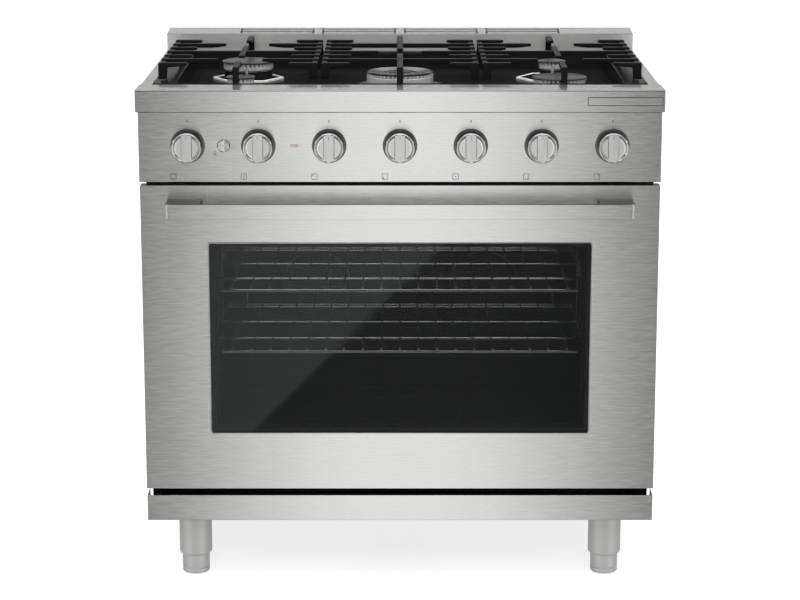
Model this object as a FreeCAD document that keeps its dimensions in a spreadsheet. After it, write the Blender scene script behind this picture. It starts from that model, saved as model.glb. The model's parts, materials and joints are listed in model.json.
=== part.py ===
import FreeCAD, Part
import math
import os
import Sketcher

# Freestanding gas range with five burners, seven knobs and a drop-down oven door.
# Millimetres, +Z up, front towards -Y, +X to the right of a person facing it.
# The origin is on the floor, under the middle of the whole appliance.
# "Depth" is counted backwards from the face of the front trim.

SIZES = {
    # Main planes
    "trim_face": -296,
    "back_plane": 345,
    "chassis_half": 445,
    "chassis_front": 50,
    "chassis_rear": 626,
    "chassis_bottom": 120,
    "chassis_top": 855,
    "sheet": 1.5,
    "gap": 0.5,
    # Worktop
    "trim_half": 456.5,
    "trim_depth": 76,
    "trim_bottom": 855.5,
    "worktop": 894,
    "frame_half": 453.35,
    "frame_bottom": 857,
    "recess_half": 433,
    "recess_rear": 570,
    "badge_left": 323,
    "badge_right": 452.5,
    "badge_bottom": 867,
    "badge_top": 882,
    "badge_proud": 0.8,
    # Spill tray
    "well_half": 394.5,
    "well_front": 95,
    "well_rear": 545,
    "well_floor": 857,
    "boss_radius": 72,
    "boss_height": 4,
    "disc_radius": 81,
    # Backguard
    "guard_half": 453,
    "guard_front": 576,
    "guard_low": 926.3,
    "guard_high": 931.5,
    "vent_length": 143.5,
    "vent_web": 16,
    "vent_slot": 8,
    "vent_pitch": 21.5,
    "vent_first": 583.5,
    # Control panel
    "panel_half": 452.3,
    "panel_face": 4.5,
    "panel_bottom": 733.2,
    "panel_rear": 49.5,
    "knob_pitch": 122.3,
    "knob_height": 797,
    "knob_radius": 25.8,
    "knob_length": 28.5,
    "knob_recess": 9,
    "knob_recess_radius": 23,
    "grip_width": 17.3,
    "bezel_radius": 29.8,
    "bezel_bore": 22,
    "bezel_height": 3,
    "stem_radius": 4,
    "running_fit": 0.05,
    "stem_reach": 20,
    "button_x": -304.7,
    "button_radius": 10.5,
    "button_proud": 5,
    "button_length": 22,
    "lens_x": -182.8,
    "lens_width": 10.7,
    "lens_height": 3,
    # Oven
    "oven_half": 345,
    "oven_floor": 245,
    "oven_ceiling": 655,
    "oven_rear": 487,
    "flange_half": 443,
    "flange_bottom": 168,
    "flange_top": 731,
    "flange_thickness": 2,
    "blanket_half": 380,
    "blanket_top": 690,
    "gasket_half": 362,
    "gasket_bottom": 228,
    "gasket_top": 672,
    "gasket_width": 12,
    "gasket_front": 42.8,
    "rack_half": 337,
    "rack_low": 419,
    "rack_high": 531,
    "rack_front": 77,
    "rack_rear": 462,
    "rack_rod": 3,
    "rack_wire": 2,
    "wire_pitch": 33.2,
    "wire_count": 19,
    "fence_height": 22,
    "fence_half": 298,
    "guide_x": 334,
    "guide_rod": 2.5,
    "guide_drop": 0.4,
    "guide_bottom": 380,
    "guide_height": 190,
    "flame_radius": 12,
    "flame_x": 120,
    "flame_drop": 30,
    "flame_front": 90,
    "flame_rear": 430,
    "fan_x": 163,
    "fan_height": 447,
    "fan_cover_radius": 67.5,
    "fan_cover_depth": 20,
    "cup_hole_radius": 6,
    "cup_hole_orbit": 42,
    "fan_radius": 54,
    "blade_length": 26,
    "motor_radius": 38,
    "motor_length": 50,
    "lamp_height": 605,
    "lamp_radius": 24,
    # Door
    "door_half": 451.3,
    "door_bottom": 179.7,
    "door_top": 727.2,
    "door_face": 4.5,
    "door_back": 42.5,
    "window_half": 333,
    "window_bottom": 283,
    "window_top": 625,
    "tunnel_half": 326,
    "tunnel_bottom": 290,
    "tunnel_top": 618,
    "tunnel_wall": 19,
    "inner_window_half": 320,
    "hinge_depth": 27,
    "hinge_height": 194,
    "hinge_x": 410,
    "hinge_ear": 6,
    "ear_half_height": 8,
    "notch_half": 6,
    "notch_front": 15,
    "notch_top": 206,
    "pin_half": 13,
    "lug_width": 8,
    # Handle
    "handle_half": 402.7,
    "handle_bottom": 677.3,
    "handle_top": 702.8,
    "handle_face": -49,
    "handle_thickness": 12,
    "bracket_width": 60,
    "bracket_outer": 404.2,
    # Kick panel and feet
    "kick_half": 450.8,
    "kick_bottom": 120.2,
    "kick_top": 166.8,
    "leg_x": 372.4,
    "leg_front": 85,
    "leg_rear": 560,
    "sleeve_radius": 29.5,
    "sleeve_bottom": 36,
    "sleeve_bore": 25.2,
    "sleeve_nut": 80,
    "foot_radius": 24.5,
    "foot_height": 70,
    "stud_radius": 8,
    "stud_top": 118,
    # Burners
    "column": 286.5,
    "front_row": 202,
    "middle_row": 318,
    "rear_row": 434,
    "neck_radius": 17,
    "neck_bottom": 832,
    "large_cap": 49.3,
    "small_cap": 26.5,
    "head_bottom": 874,
    "head_top": 889,
    "cap_thickness": 3.7,
    "ring_outer": 60.5,
    "ring_inner": 31.5,
    "ring_bottom": 866,
    "ring_top": 883,
    "core_cap": 21.5,
    "igniter_radius": 2.5,
    # Grates
    "grate_top": 924,
    "row_pitch": 58,
    "bar_width": 11,
    "finger_height": 8,
    "side_grate_inner": 146.5,
    "side_grate_outer": 428.4,
    "middle_grate_half": 140,
    "rail_width": 10,
    "rail_drop": 3,
    "rail_height": 9,
    "grate_leg_width": 16,
    "grate_foot": 894.5,
    "spine_front": 77,
    "spine_rear": 560,
    "short_finger": 51,
    "long_finger": 101,
    # Gas and power
    "valve_half": 15,
    "valve_front": 22,
    "valve_rear": 58,
    "manifold_radius": 12,
    "manifold_half": 395,
    "tube_radius": 4,
    "tube_height": 822,
    "feed_radius": 9,
    "feed_depth": 600,
    "inlet_x": 383,
    "inlet_height": 190,
    "inlet_radius": 10.65,
    "inlet_thread": 20,
    "inlet_end": 640.5,
    "power_x": -330,
    "power_height": 190,
    "gland_bore": 5.5,
    "gland_radius": 12,
    "gland_length": 14,
    "screw_x": 434,
    "screw_radius": 2,
    "cooling_half": 60,
    "cooling_bottom": 380,
    "cooling_pitch": 18,
    "cooling_slot": 6,
}

doc = FreeCAD.newDocument("GasRange")


class Size:
    """A length: its formula in the document and its present value."""

    def __init__(self, formula, value):
        self.formula = formula
        self.value = value

    def __add__(self, other):
        other = as_size(other)
        return Size(f"({self.formula} + {other.formula})", self.value + other.value)

    def __sub__(self, other):
        other = as_size(other)
        return Size(f"({self.formula} - {other.formula})", self.value - other.value)

    def __mul__(self, other):
        other = as_size(other)
        return Size(f"({self.formula} * {other.formula})", self.value * other.value)

    def __truediv__(self, other):
        other = as_size(other)
        return Size(f"({self.formula} / {other.formula})", self.value / other.value)

    def __neg__(self):
        return Size(f"(0 - {self.formula})", -self.value)

    def __radd__(self, other):
        return as_size(other) + self

    def __rsub__(self, other):
        return as_size(other) - self

    def __rmul__(self, other):
        return as_size(other) * self


def as_size(number):
    """A plain number as a Size; a Size as it is."""
    if isinstance(number, Size):
        return number
    return Size(f"({number:.6f})", number)


class SheetSizes:
    """Reads the sheet's aliases as Sizes."""

    def __getattr__(self, alias):
        return Size(f"Sizes.{alias}", SIZES[alias])


def make_sheet():
    sheet = doc.addObject("Spreadsheet::Sheet", "Sizes")
    for row, (alias, value) in enumerate(SIZES.items(), start=1):
        sheet.set(f"A{row}", alias.replace("_", " "))
        sheet.set(f"B{row}", str(value))
        sheet.setAlias(f"B{row}", alias)
    doc.recompute()


make_sheet()
size = SheetSizes()

ABOUT_X = FreeCAD.Vector(1, 0, 0)
ABOUT_Y = FreeCAD.Vector(0, 1, 0)
ALONG = {
    "x": FreeCAD.Rotation(ABOUT_Y, 90),
    "y": FreeCAD.Rotation(ABOUT_X, -90),
    "z": FreeCAD.Rotation(),
}
FORWARD = FreeCAD.Rotation(ABOUT_X, 90)
UPRIGHT = FreeCAD.Rotation()
BOTH_SIDES = (-1, 1)


def depth(distance):
    """The y of a place that lies this far behind the trim's face."""
    return size.trim_face + distance


def bind(item, name, length):
    item.setExpression(name, as_size(length).formula)


def place(item, position, rotation=UPRIGHT):
    item.Placement = FreeCAD.Placement(FreeCAD.Vector(), rotation)
    for axis, length in zip("xyz", position):
        bind(item, f"Placement.Base.{axis}", length)


def block(name, x, y, z):
    """A box, with each range given as (low, high)."""
    item = doc.addObject("Part::Box", name)
    for side, (low, high) in zip(("Length", "Width", "Height"), (x, y, z)):
        bind(item, side, as_size(high) - low)
    place(item, (x[0], y[0], z[0]))
    return item


def rod(name, radius, start, length, axis):
    """A cylinder that runs from start in the positive direction of an axis."""
    item = doc.addObject("Part::Cylinder", name)
    bind(item, "Radius", radius)
    bind(item, "Height", length)
    place(item, start, ALONG[axis])
    return item


def ball(name, radius, centre):
    item = doc.addObject("Part::Sphere", name)
    bind(item, "Radius", radius)
    place(item, centre)
    return item


def fuse(name, pieces):
    item = doc.addObject("Part::MultiFuse", name)
    item.Shapes = pieces
    return item


def group(name, pieces):
    """Separate solids that share one node."""
    item = doc.addObject("Part::Compound", name)
    item.Links = pieces
    return item


def cut(name, base, tools):
    item = doc.addObject("Part::Cut", name)
    item.Base = base
    item.Tool = tools[0] if len(tools) == 1 else fuse(f"{name}_tools", tools)
    return item


def both(half):
    """The range from -half to half."""
    return (-as_size(half), as_size(half))


def outline(body, name, role, points):
    """A closed sketch of straight lines, each corner bound to the sheet."""
    sketch = body.newObject("Sketcher::SketchObject", name)
    planes = [item for item in body.Origin.OriginFeatures if item.Role == role]
    sketch.AttachmentSupport = [(planes[0], "")]
    sketch.MapMode = "FlatFace"
    corners = [(as_size(first), as_size(second)) for first, second in points]
    places = [FreeCAD.Vector(first.value, second.value, 0) for first, second in corners]
    count = len(places)
    for index in range(count):
        following = (index + 1) % count
        sketch.addGeometry(Part.LineSegment(places[index], places[following]), False)
    for index in range(count):
        following = (index + 1) % count
        sketch.addConstraint(Sketcher.Constraint("Coincident", index, 2, following, 1))
    for index, corner in enumerate(corners):
        for kind, length in zip(("DistanceX", "DistanceY"), corner):
            rule = Sketcher.Constraint(kind, -1, 1, index, 1, length.value)
            number = sketch.addConstraint(rule)
            sketch.setExpression(f"Constraints[{number}]", length.formula)
    return sketch


def turned(name, points, position, rotation=UPRIGHT):
    """A body of revolution; points are (radius, height) from its own base."""
    body = doc.addObject("PartDesign::Body", name)
    sketch = outline(body, f"{name}_profile", "XZ_Plane", points)
    feature = body.newObject("PartDesign::Revolution", f"{name}_turn")
    feature.Profile = sketch
    feature.ReferenceAxis = (sketch, ["V_Axis"])
    feature.Angle = 360
    body.Tip = feature
    place(body, position, rotation)
    return body


def extruded(name, points, width):
    """A body with a side profile in (y, z), spread evenly to both sides in x."""
    body = doc.addObject("PartDesign::Body", name)
    sketch = outline(body, f"{name}_profile", "YZ_Plane", points)
    feature = body.newObject("PartDesign::Pad", f"{name}_pad")
    feature.Profile = sketch
    feature.Midplane = True
    bind(feature, "Length", width)
    body.Tip = feature
    return body


def pipe(name, radius, points):
    """Straight runs of round pipe, each along one axis, with round corners."""
    pieces = []
    for index, (start, end) in enumerate(zip(points, points[1:])):
        for axis_index, axis in enumerate("xyz"):
            step = as_size(end[axis_index]) - start[axis_index]
            if abs(step.value) < 1e-6:
                continue
            low, length = (start, step) if step.value > 0 else (end, -step)
            pieces.append(rod(f"{name}_run_{index}", radius, low, length, axis))
    for index, corner in enumerate(points[1:-1]):
        pieces.append(ball(f"{name}_bend_{index}", radius, corner))
    return fuse(name, pieces)


# Worktop

def make_front_trim():
    """Folded sheet: face, ledge and two ends, open below and behind."""
    outer = block("trim_outer", both(size.trim_half), (depth(0), depth(size.trim_depth)),
                  (size.trim_bottom, size.worktop))
    inner = block("trim_inner", both(size.trim_half - size.sheet),
                  (depth(size.sheet), depth(size.trim_depth + 1)),
                  (size.trim_bottom - 1, size.worktop - size.sheet))
    return cut("front_trim", outer, [inner])


def make_badge_plate():
    return block("badge_plate", (size.badge_left, size.badge_right),
                 (depth(-size.badge_proud), depth(0)), (size.badge_bottom, size.badge_top))


def make_cooktop_frame():
    """Worktop sheet around the spill tray, with folded skirts."""
    outer = block("frame_outer", both(size.frame_half),
                  (depth(size.trim_depth), size.back_plane), (size.frame_bottom, size.worktop))
    inner = block("frame_inner", both(size.frame_half - size.sheet),
                  (depth(size.trim_depth - 1), size.back_plane - size.sheet),
                  (size.frame_bottom - 1, size.worktop - size.sheet))
    recess = block("frame_recess", both(size.recess_half),
                   (depth(size.trim_depth - 1), depth(size.recess_rear)),
                   (size.worktop - 10, size.worktop + 1))
    return cut("cooktop_frame", outer, [inner, recess])


BURNERS = {
    "front_left": (-size.column, size.front_row, size.small_cap),
    "front_right": (size.column, size.front_row, size.large_cap),
    "rear_left": (-size.column, size.rear_row, size.large_cap),
    "rear_right": (size.column, size.rear_row, size.small_cap),
}


def make_spill_tray():
    """Pressed pan with a flange level with the worktop and a boss under each burner."""
    floor_bottom = size.well_floor - size.sheet
    flange = block("tray_flange", both(size.recess_half),
                   (depth(size.trim_depth), depth(size.recess_rear)),
                   (size.worktop - size.sheet, size.worktop))
    pan = block("tray_pan", both(size.well_half + size.sheet),
                (depth(size.well_front - size.sheet), depth(size.well_rear + size.sheet)),
                (floor_bottom, size.worktop))
    well = block("tray_well", both(size.well_half),
                 (depth(size.well_front), depth(size.well_rear)),
                 (size.well_floor, size.worktop + 1))
    shell = cut("tray_shell", fuse("tray_sheet", [flange, pan]), [well])
    bosses = []
    for name, (x, row, _) in BURNERS.items():
        boss = doc.addObject("Part::Prism", f"boss_{name}")
        boss.Polygon = 6
        bind(boss, "Circumradius", size.boss_radius)
        bind(boss, "Height", size.boss_height + size.sheet)
        place(boss, (x, depth(row), floor_bottom))
        bosses.append(boss)
    bosses.append(rod("boss_middle", size.disc_radius, (0, depth(size.middle_row), floor_bottom),
                      size.boss_height + size.sheet, "z"))
    holes = [rod(f"tray_hole_{name}", size.neck_radius + size.gap,
                 (x, depth(row), floor_bottom - 1), size.boss_height + 4, "z")
             for name, (x, row, _) in BURNERS.items()]
    holes.append(rod("tray_hole_middle", size.neck_radius + size.gap,
                     (0, depth(size.middle_row), floor_bottom - 1), size.boss_height + 4, "z"))
    return cut("spill_tray", fuse("tray_with_bosses", [shell] + bosses), holes)


VENT_GROUPS = 4
VENT_SLOTS = 3


def make_backguard():
    """Low hollow upstand with a sloping top, slotted for the oven's vent."""
    front = depth(size.guard_front)
    outer = extruded("guard_outer",
                     [(front, size.worktop), (size.back_plane, size.worktop),
                      (size.back_plane, size.guard_high), (front, size.guard_low)],
                     size.guard_half * 2)
    inner = extruded("guard_inner",
                     [(front + size.sheet, size.worktop - 1),
                      (size.back_plane - size.sheet, size.worktop - 1),
                      (size.back_plane - size.sheet, size.guard_high - size.sheet),
                      (front + size.sheet, size.guard_low - size.sheet)],
                     (size.guard_half - size.sheet) * 2)
    slots = []
    step = size.vent_length + size.vent_web
    for group_number in range(VENT_GROUPS):
        start = step * (group_number - VENT_GROUPS / 2) + size.vent_web / 2
        for slot in range(VENT_SLOTS):
            y = depth(size.vent_first + size.vent_pitch * slot)
            slots.append(block(f"vent_{group_number}_{slot}", (start, start + size.vent_length),
                               (y, y + size.vent_slot), (size.guard_low - 8, size.guard_high + 5)))
    return cut("backguard", outer, [inner] + slots)


# Control panel

KNOB_NUMBERS = range(1, 8)


def knob_x(number):
    return size.knob_pitch * (number - 4)


def make_control_panel():
    """Folded sheet open to the rear, pierced for stems, button and lens."""
    outer = block("panel_outer", both(size.panel_half),
                  (depth(size.panel_face), depth(size.panel_rear)),
                  (size.panel_bottom, size.chassis_top))
    inner = block("panel_inner", both(size.panel_half - size.sheet),
                  (depth(size.panel_face + size.sheet), depth(size.panel_rear + 1)),
                  (size.panel_bottom + size.sheet, size.chassis_top - size.sheet))
    holes = [rod(f"stem_hole_{number}", size.stem_radius + 2,
                 (knob_x(number), depth(0), size.knob_height), 10, "y")
             for number in KNOB_NUMBERS]
    holes.append(rod("button_hole", size.button_radius + size.gap,
                     (size.button_x, depth(0), size.knob_height), 10, "y"))
    holes.append(block("lens_hole", (size.lens_x - size.lens_width / 2, size.lens_x + size.lens_width / 2),
                       (depth(0), depth(10)),
                       (size.knob_height - size.lens_height / 2, size.knob_height + size.lens_height / 2)))
    return cut("control_panel", outer, [inner] + holes)


def make_knob_bezels():
    rings = [turned(f"bezel_{number}",
                    [(size.bezel_bore, 0), (size.bezel_radius, 0),
                     (size.bezel_radius, size.bezel_height - 1),
                     (size.bezel_radius - 1, size.bezel_height),
                     (size.bezel_bore, size.bezel_height)],
                    (knob_x(number), depth(size.panel_face), size.knob_height), FORWARD)
             for number in KNOB_NUMBERS]
    return group("knob_bezels", rings)


def make_knob(number):
    """Round knob with a dished face, a full-height grip and a bore for the valve's stem."""
    name = f"knob_{number}"
    rim = size.knob_length
    dish = size.knob_length - size.knob_recess
    bore = size.stem_radius + size.running_fit
    bore_depth = size.stem_reach
    start = depth(size.panel_face - size.bezel_height - size.gap)
    body = turned(name,
                  [(bore, 0), (size.knob_radius - 2, 0), (size.knob_radius - 1, 4),
                   (size.knob_radius, rim - 2), (size.knob_radius - 1, rim),
                   (size.knob_recess_radius, rim), (size.knob_recess_radius - 2, dish), (0, dish),
                   (0, bore_depth - 2), (bore, bore_depth - 2)],
                  (knob_x(number), start, size.knob_height), FORWARD)
    half = size.grip_width / 2
    reach = size.knob_recess_radius - 0.6
    grip = outline(body, f"{name}_grip", "XY_Plane",
                   [(-half, -reach), (half, -reach), (half, reach), (-half, reach)])
    bind(grip, "AttachmentOffset.Base.z", dish - 1)
    raise_grip = body.newObject("PartDesign::Pad", f"{name}_grip_pad")
    raise_grip.Profile = grip
    bind(raise_grip, "Length", size.knob_recess + 1)
    body.Tip = raise_grip
    return body


def make_gas_valves():
    """A valve body behind each knob, with the stem that the knob turns on."""
    front = depth(size.valve_front)
    valves = []
    for number in KNOB_NUMBERS:
        x = knob_x(number)
        housing = block(f"valve_housing_{number}", (x - size.valve_half, x + size.valve_half),
                        (front, depth(size.valve_rear)),
                        (size.knob_height - size.valve_half, size.knob_height + size.valve_half))
        stem_front = depth(size.panel_face - size.bezel_height - size.stem_reach + 3)
        stem = rod(f"valve_stem_{number}", size.stem_radius, (x, stem_front, size.knob_height),
                   front + 1 - stem_front, "y")
        valves.append(fuse(f"valve_{number}", [housing, stem]))
    return group("gas_valves", valves)


def make_light_button():
    return turned("light_button",
                  [(0, 0), (size.button_radius, 0), (size.button_radius, size.button_length - 1),
                   (size.button_radius - 1, size.button_length), (0, size.button_length)],
                  (size.button_x, depth(size.panel_face - size.button_proud) + size.button_length,
                   size.knob_height), FORWARD)


def make_indicator_lens():
    return block("indicator_lens",
                 (size.lens_x - size.lens_width / 2, size.lens_x + size.lens_width / 2),
                 (depth(size.panel_face - 1), depth(size.panel_face + 8)),
                 (size.knob_height - size.lens_height / 2, size.knob_height + size.lens_height / 2))


# Chassis

def make_base_pan():
    """Shallow open pan that closes the bottom and carries the legs."""
    half = size.chassis_half - size.sheet
    outer = block("pan_outer", both(half), (depth(size.chassis_front + 2), depth(size.chassis_rear)),
                  (size.chassis_bottom, size.chassis_bottom + 25))
    inner = block("pan_inner", both(half - size.sheet),
                  (depth(size.chassis_front + 2 + size.sheet), depth(size.chassis_rear - size.sheet)),
                  (size.chassis_bottom + size.sheet, size.chassis_bottom + 26))
    return cut("base_pan", outer, [inner])


SCREW_HEIGHTS = (180, 390, 600, 820)
COOLING_SLOTS = range(6)


def screw_holes(name, radius):
    return [rod(f"{name}_{side}_{height}", radius,
                (size.screw_x * side, depth(size.chassis_rear - 10), height), 20, "y")
            for side in BOTH_SIDES for height in SCREW_HEIGHTS]


def make_side_panels():
    """Outer side sheets, each with a flange for the back panel's screws."""
    flange_bottom = size.chassis_bottom + 26
    sheets = []
    for side in BOTH_SIDES:
        outer = size.chassis_half * side
        inner = (size.chassis_half - size.sheet) * side
        fold = (size.chassis_half - 22) * side
        sheet = block(f"side_sheet_{side}", (outer, inner) if side < 0 else (inner, outer),
                      (depth(size.chassis_front), depth(size.chassis_rear)),
                      (size.chassis_bottom, size.chassis_top))
        flange = block(f"side_flange_{side}", (outer, fold) if side < 0 else (fold, outer),
                       (depth(size.chassis_rear - size.sheet), depth(size.chassis_rear)),
                       (flange_bottom, size.chassis_top))
        sheets.append(cut(f"side_panel_{side}", fuse(f"side_blank_{side}", [sheet, flange]),
                          screw_holes(f"side_hole_{side}", size.screw_radius + 0.1)))
    return group("side_panels", sheets)


def make_back_panel():
    """Rear sheet with cooling slots and holes for the gas and power inlets."""
    rear = depth(size.chassis_rear)
    sheet = block("back_sheet", both(size.chassis_half - size.sheet), (rear, rear + size.sheet),
                  (size.chassis_bottom + 30, size.chassis_top - 5))
    tools = screw_holes("back_hole", size.screw_radius + 0.1)
    tools.append(rod("gas_hole", size.inlet_radius + 5,
                     (size.inlet_x, rear - 5, size.inlet_height), 12, "y"))
    tools.append(rod("power_hole", size.gland_radius + size.gap,
                     (size.power_x, rear - 5, size.power_height), 12, "y"))
    for side in BOTH_SIDES:
        for slot in COOLING_SLOTS:
            low = size.cooling_bottom + size.cooling_pitch * slot
            middle = size.fan_x * side
            tools.append(block(f"cooling_slot_{side}_{slot}",
                               (middle - size.cooling_half, middle + size.cooling_half),
                               (rear - 5, rear + 5), (low, low + size.cooling_slot)))
    return cut("back_panel", sheet, tools)


def make_panel_screws():
    """Pan-head screws that hold the back panel."""
    screws = []
    for side in BOTH_SIDES:
        for height in SCREW_HEIGHTS:
            screws.append(turned(f"screw_{side}_{height}",
                                 [(0, 0), (size.screw_radius, 0), (size.screw_radius, 9), (4.5, 9),
                                  (4.5, 10), (3, 11.5), (0, 11.5)],
                                 (size.screw_x * side, depth(size.chassis_rear) + size.sheet - 9, height),
                                 ALONG["y"]))
    return group("panel_screws", screws)


def make_kick_panel():
    """Front sheet under the door, with two side returns."""
    outer = block("kick_outer", both(size.kick_half), (depth(size.door_face + size.gap),
                  depth(size.panel_rear)), (size.kick_bottom, size.kick_top))
    inner = block("kick_inner", both(size.kick_half - size.sheet),
                  (depth(size.door_face + size.gap + size.sheet), depth(size.panel_rear + 1)),
                  (size.kick_bottom + size.sheet, size.kick_top + 1))
    return cut("kick_panel", outer, [inner])


LEGS = {
    "front_left": (-size.leg_x, size.leg_front),
    "front_right": (size.leg_x, size.leg_front),
    "rear_left": (-size.leg_x, size.leg_rear),
    "rear_right": (size.leg_x, size.leg_rear),
}


def make_leg_sleeves():
    """Round legs, each with a threaded top that the foot's stud runs in."""
    top = size.chassis_bottom - size.sleeve_bottom
    nut = size.sleeve_nut - size.sleeve_bottom
    bore = size.stud_radius + size.running_fit
    sleeves = [turned(f"sleeve_{name}",
                      [(size.sleeve_bore, 0), (size.sleeve_radius - 2, 0), (size.sleeve_radius, 3),
                       (size.sleeve_radius, top), (bore, top), (bore, nut), (size.sleeve_bore, nut)],
                      (x, depth(row), size.sleeve_bottom))
               for name, (x, row) in LEGS.items()]
    return group("leg_sleeves", sleeves)


def make_foot(name):
    x, row = LEGS[name]
    return turned(f"foot_{name}",
                  [(0, 0), (size.foot_radius - 3, 0), (size.foot_radius, 3),
                   (size.foot_radius, size.foot_height), (size.stud_radius, size.foot_height),
                   (size.stud_radius, size.stud_top), (0, size.stud_top)],
                  (x, depth(row), 0))


# Oven

def make_oven_liner():
    """Enamelled cavity, open in front, with the flange that the door closes on."""
    back_of_flange = size.chassis_front + size.flange_thickness
    flange = block("liner_flange", both(size.flange_half),
                   (depth(size.chassis_front), depth(back_of_flange)),
                   (size.flange_bottom, size.flange_top))
    shell = block("liner_shell", both(size.oven_half + size.sheet),
                  (depth(size.chassis_front), depth(size.oven_rear + size.sheet)),
                  (size.oven_floor - size.sheet, size.oven_ceiling + size.sheet))
    cavity = block("liner_cavity", both(size.oven_half),
                   (depth(size.chassis_front - 1), depth(size.oven_rear)),
                   (size.oven_floor, size.oven_ceiling))
    holes = [rod(f"shaft_hole_{side}", 8, (size.fan_x * side, depth(size.oven_rear - 5), size.fan_height),
                 10, "y") for side in BOTH_SIDES]
    holes.append(rod("lamp_hole", size.lamp_radius - 6,
                     (0, depth(size.oven_rear - 5), size.lamp_height), 10, "y"))
    return cut("oven_liner", fuse("liner_sheet", [flange, shell]), [cavity] + holes)


def make_insulation():
    """Blanket over the top and sides of the cavity."""
    y = (depth(size.chassis_front + 4), depth(size.oven_rear + size.sheet))
    outer = block("blanket_outer", both(size.blanket_half), y,
                  (size.oven_floor, size.blanket_top))
    inner = block("blanket_inner", both(size.oven_half + size.sheet),
                  (depth(size.chassis_front), depth(size.oven_rear + 10)),
                  (size.oven_floor - 1, size.oven_ceiling + size.sheet))
    return cut("oven_insulation", outer, [inner])


def make_door_gasket():
    y = (depth(size.gasket_front), depth(size.chassis_front))
    outer = block("gasket_outer", both(size.gasket_half), y, (size.gasket_bottom, size.gasket_top))
    inner = block("gasket_inner", both(size.gasket_half - size.gasket_width),
                  (y[0] - 1, y[1] + 1),
                  (size.gasket_bottom + size.gasket_width, size.gasket_top - size.gasket_width))
    return cut("door_gasket", outer, [inner])


def make_oven_burner():
    """Two burner tubes under the cavity floor, joined at the rear."""
    radius = size.flame_radius
    x = size.flame_x
    z = size.oven_floor - size.flame_drop
    front = depth(size.flame_front)
    rear = depth(size.flame_rear)
    tubes = [rod(f"burner_tube_{side}", radius, (x * side, front, z), rear - front, "y")
             for side in BOTH_SIDES]
    bends = [ball(f"burner_bend_{side}", radius, (x * side, rear, z)) for side in BOTH_SIDES]
    return fuse("oven_burner", tubes + bends + [rod("burner_cross", radius, (-x, rear, z), x * 2, "x")])


GUIDE_ROWS = (140, 430)


def make_rack_guides():
    """A wire ladder on each side wall, with two rungs that carry the racks."""
    start = size.rack_front + 5
    length = size.rack_rear - size.rack_front - 2
    guides = []
    for side in BOTH_SIDES:
        pieces = []
        for level, top in (("low", size.rack_low), ("high", size.rack_high)):
            z = top - size.rack_wire * 2 - size.rack_rod * 2 - size.guide_drop - size.guide_rod
            pieces.append(rod(f"guide_{level}_{side}", size.guide_rod,
                              (size.guide_x * side, depth(start), z), length, "y"))
            for row in GUIDE_ROWS:
                pieces.append(rod(f"guide_{level}_{row}_{side}", size.guide_rod,
                                  (-size.oven_half if side < 0 else size.guide_x, depth(row), z),
                                  size.oven_half - size.guide_x, "x"))
        for row in GUIDE_ROWS:
            pieces.append(rod(f"guide_post_{row}_{side}", size.guide_rod,
                              ((size.oven_half - size.guide_rod - size.gap) * side, depth(row),
                               size.guide_bottom), size.guide_height, "z"))
        guides.append(fuse(f"guide_{side}", pieces))
    return group("rack_guides", guides)


def make_rack(name, top):
    """Wire rack: rods below, close wires on them, and a low fence at the rear."""
    wire = size.rack_wire
    thick = size.rack_rod
    wire_z = top - wire
    rod_z = top - wire * 2 - thick + 0.6
    front = depth(size.rack_front)
    reach = size.rack_rear - size.rack_front
    side_x = size.rack_half - thick
    pieces = [rod(f"{name}_side_{side}", thick, (side_x * side, front, rod_z), reach, "y")
              for side in BOTH_SIDES]
    for row in (size.rack_front, 180, 313, 441, size.rack_rear):
        pieces.append(rod(f"{name}_cross_{as_size(row).value:.0f}", thick,
                          (-side_x, depth(row), rod_z), side_x * 2, "x"))
    middle = (SIZES["wire_count"] - 1) / 2
    for number in range(SIZES["wire_count"]):
        pieces.append(rod(f"{name}_wire_{number}", wire,
                          (size.wire_pitch * (number - middle), front, wire_z), reach, "y"))
    grid = fuse(f"{name}_grid", pieces)
    fence_y = depth(size.rack_rear)
    fence_z = top + size.fence_height - wire
    posts = [rod(f"{name}_post_{side}", wire, ((size.fence_half - wire) * side, fence_y, top),
                 size.fence_height - wire, "z") for side in BOTH_SIDES]
    rail = rod(f"{name}_rail", wire, (-size.fence_half, fence_y, fence_z), size.fence_half * 2, "x")
    return group(name, [grid, fuse(f"{name}_fence", posts + [rail])])


CUP_HOLES = 12
FAN_BLADES = 8


def make_fan_covers():
    """Pierced cups over the fans, against the cavity's rear wall."""
    covers = []
    radius = size.fan_cover_radius
    tall = size.fan_cover_depth
    wall = size.sheet
    for side in BOTH_SIDES:
        cup = turned(f"cup_{side}",
                     [(radius - wall, 0), (radius, 0), (radius, tall - 3), (radius - 3, tall),
                      (0, tall), (0, tall - wall), (radius - 3 - wall, tall - wall),
                      (radius - wall, tall - 3 - wall)],
                     (size.fan_x * side, depth(size.oven_rear), size.fan_height), FORWARD)
        holes = []
        for number in range(CUP_HOLES):
            angle = math.tau * number / CUP_HOLES
            holes.append(rod(f"cup_hole_{side}_{number}", size.cup_hole_radius,
                             (size.fan_x * side + size.cup_hole_orbit * math.cos(angle),
                              depth(size.oven_rear - tall - 10),
                              size.fan_height + size.cup_hole_orbit * math.sin(angle)), tall, "y"))
        covers.append(cut(f"fan_cover_{side}", cup, holes))
    return group("fan_covers", covers)


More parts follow.
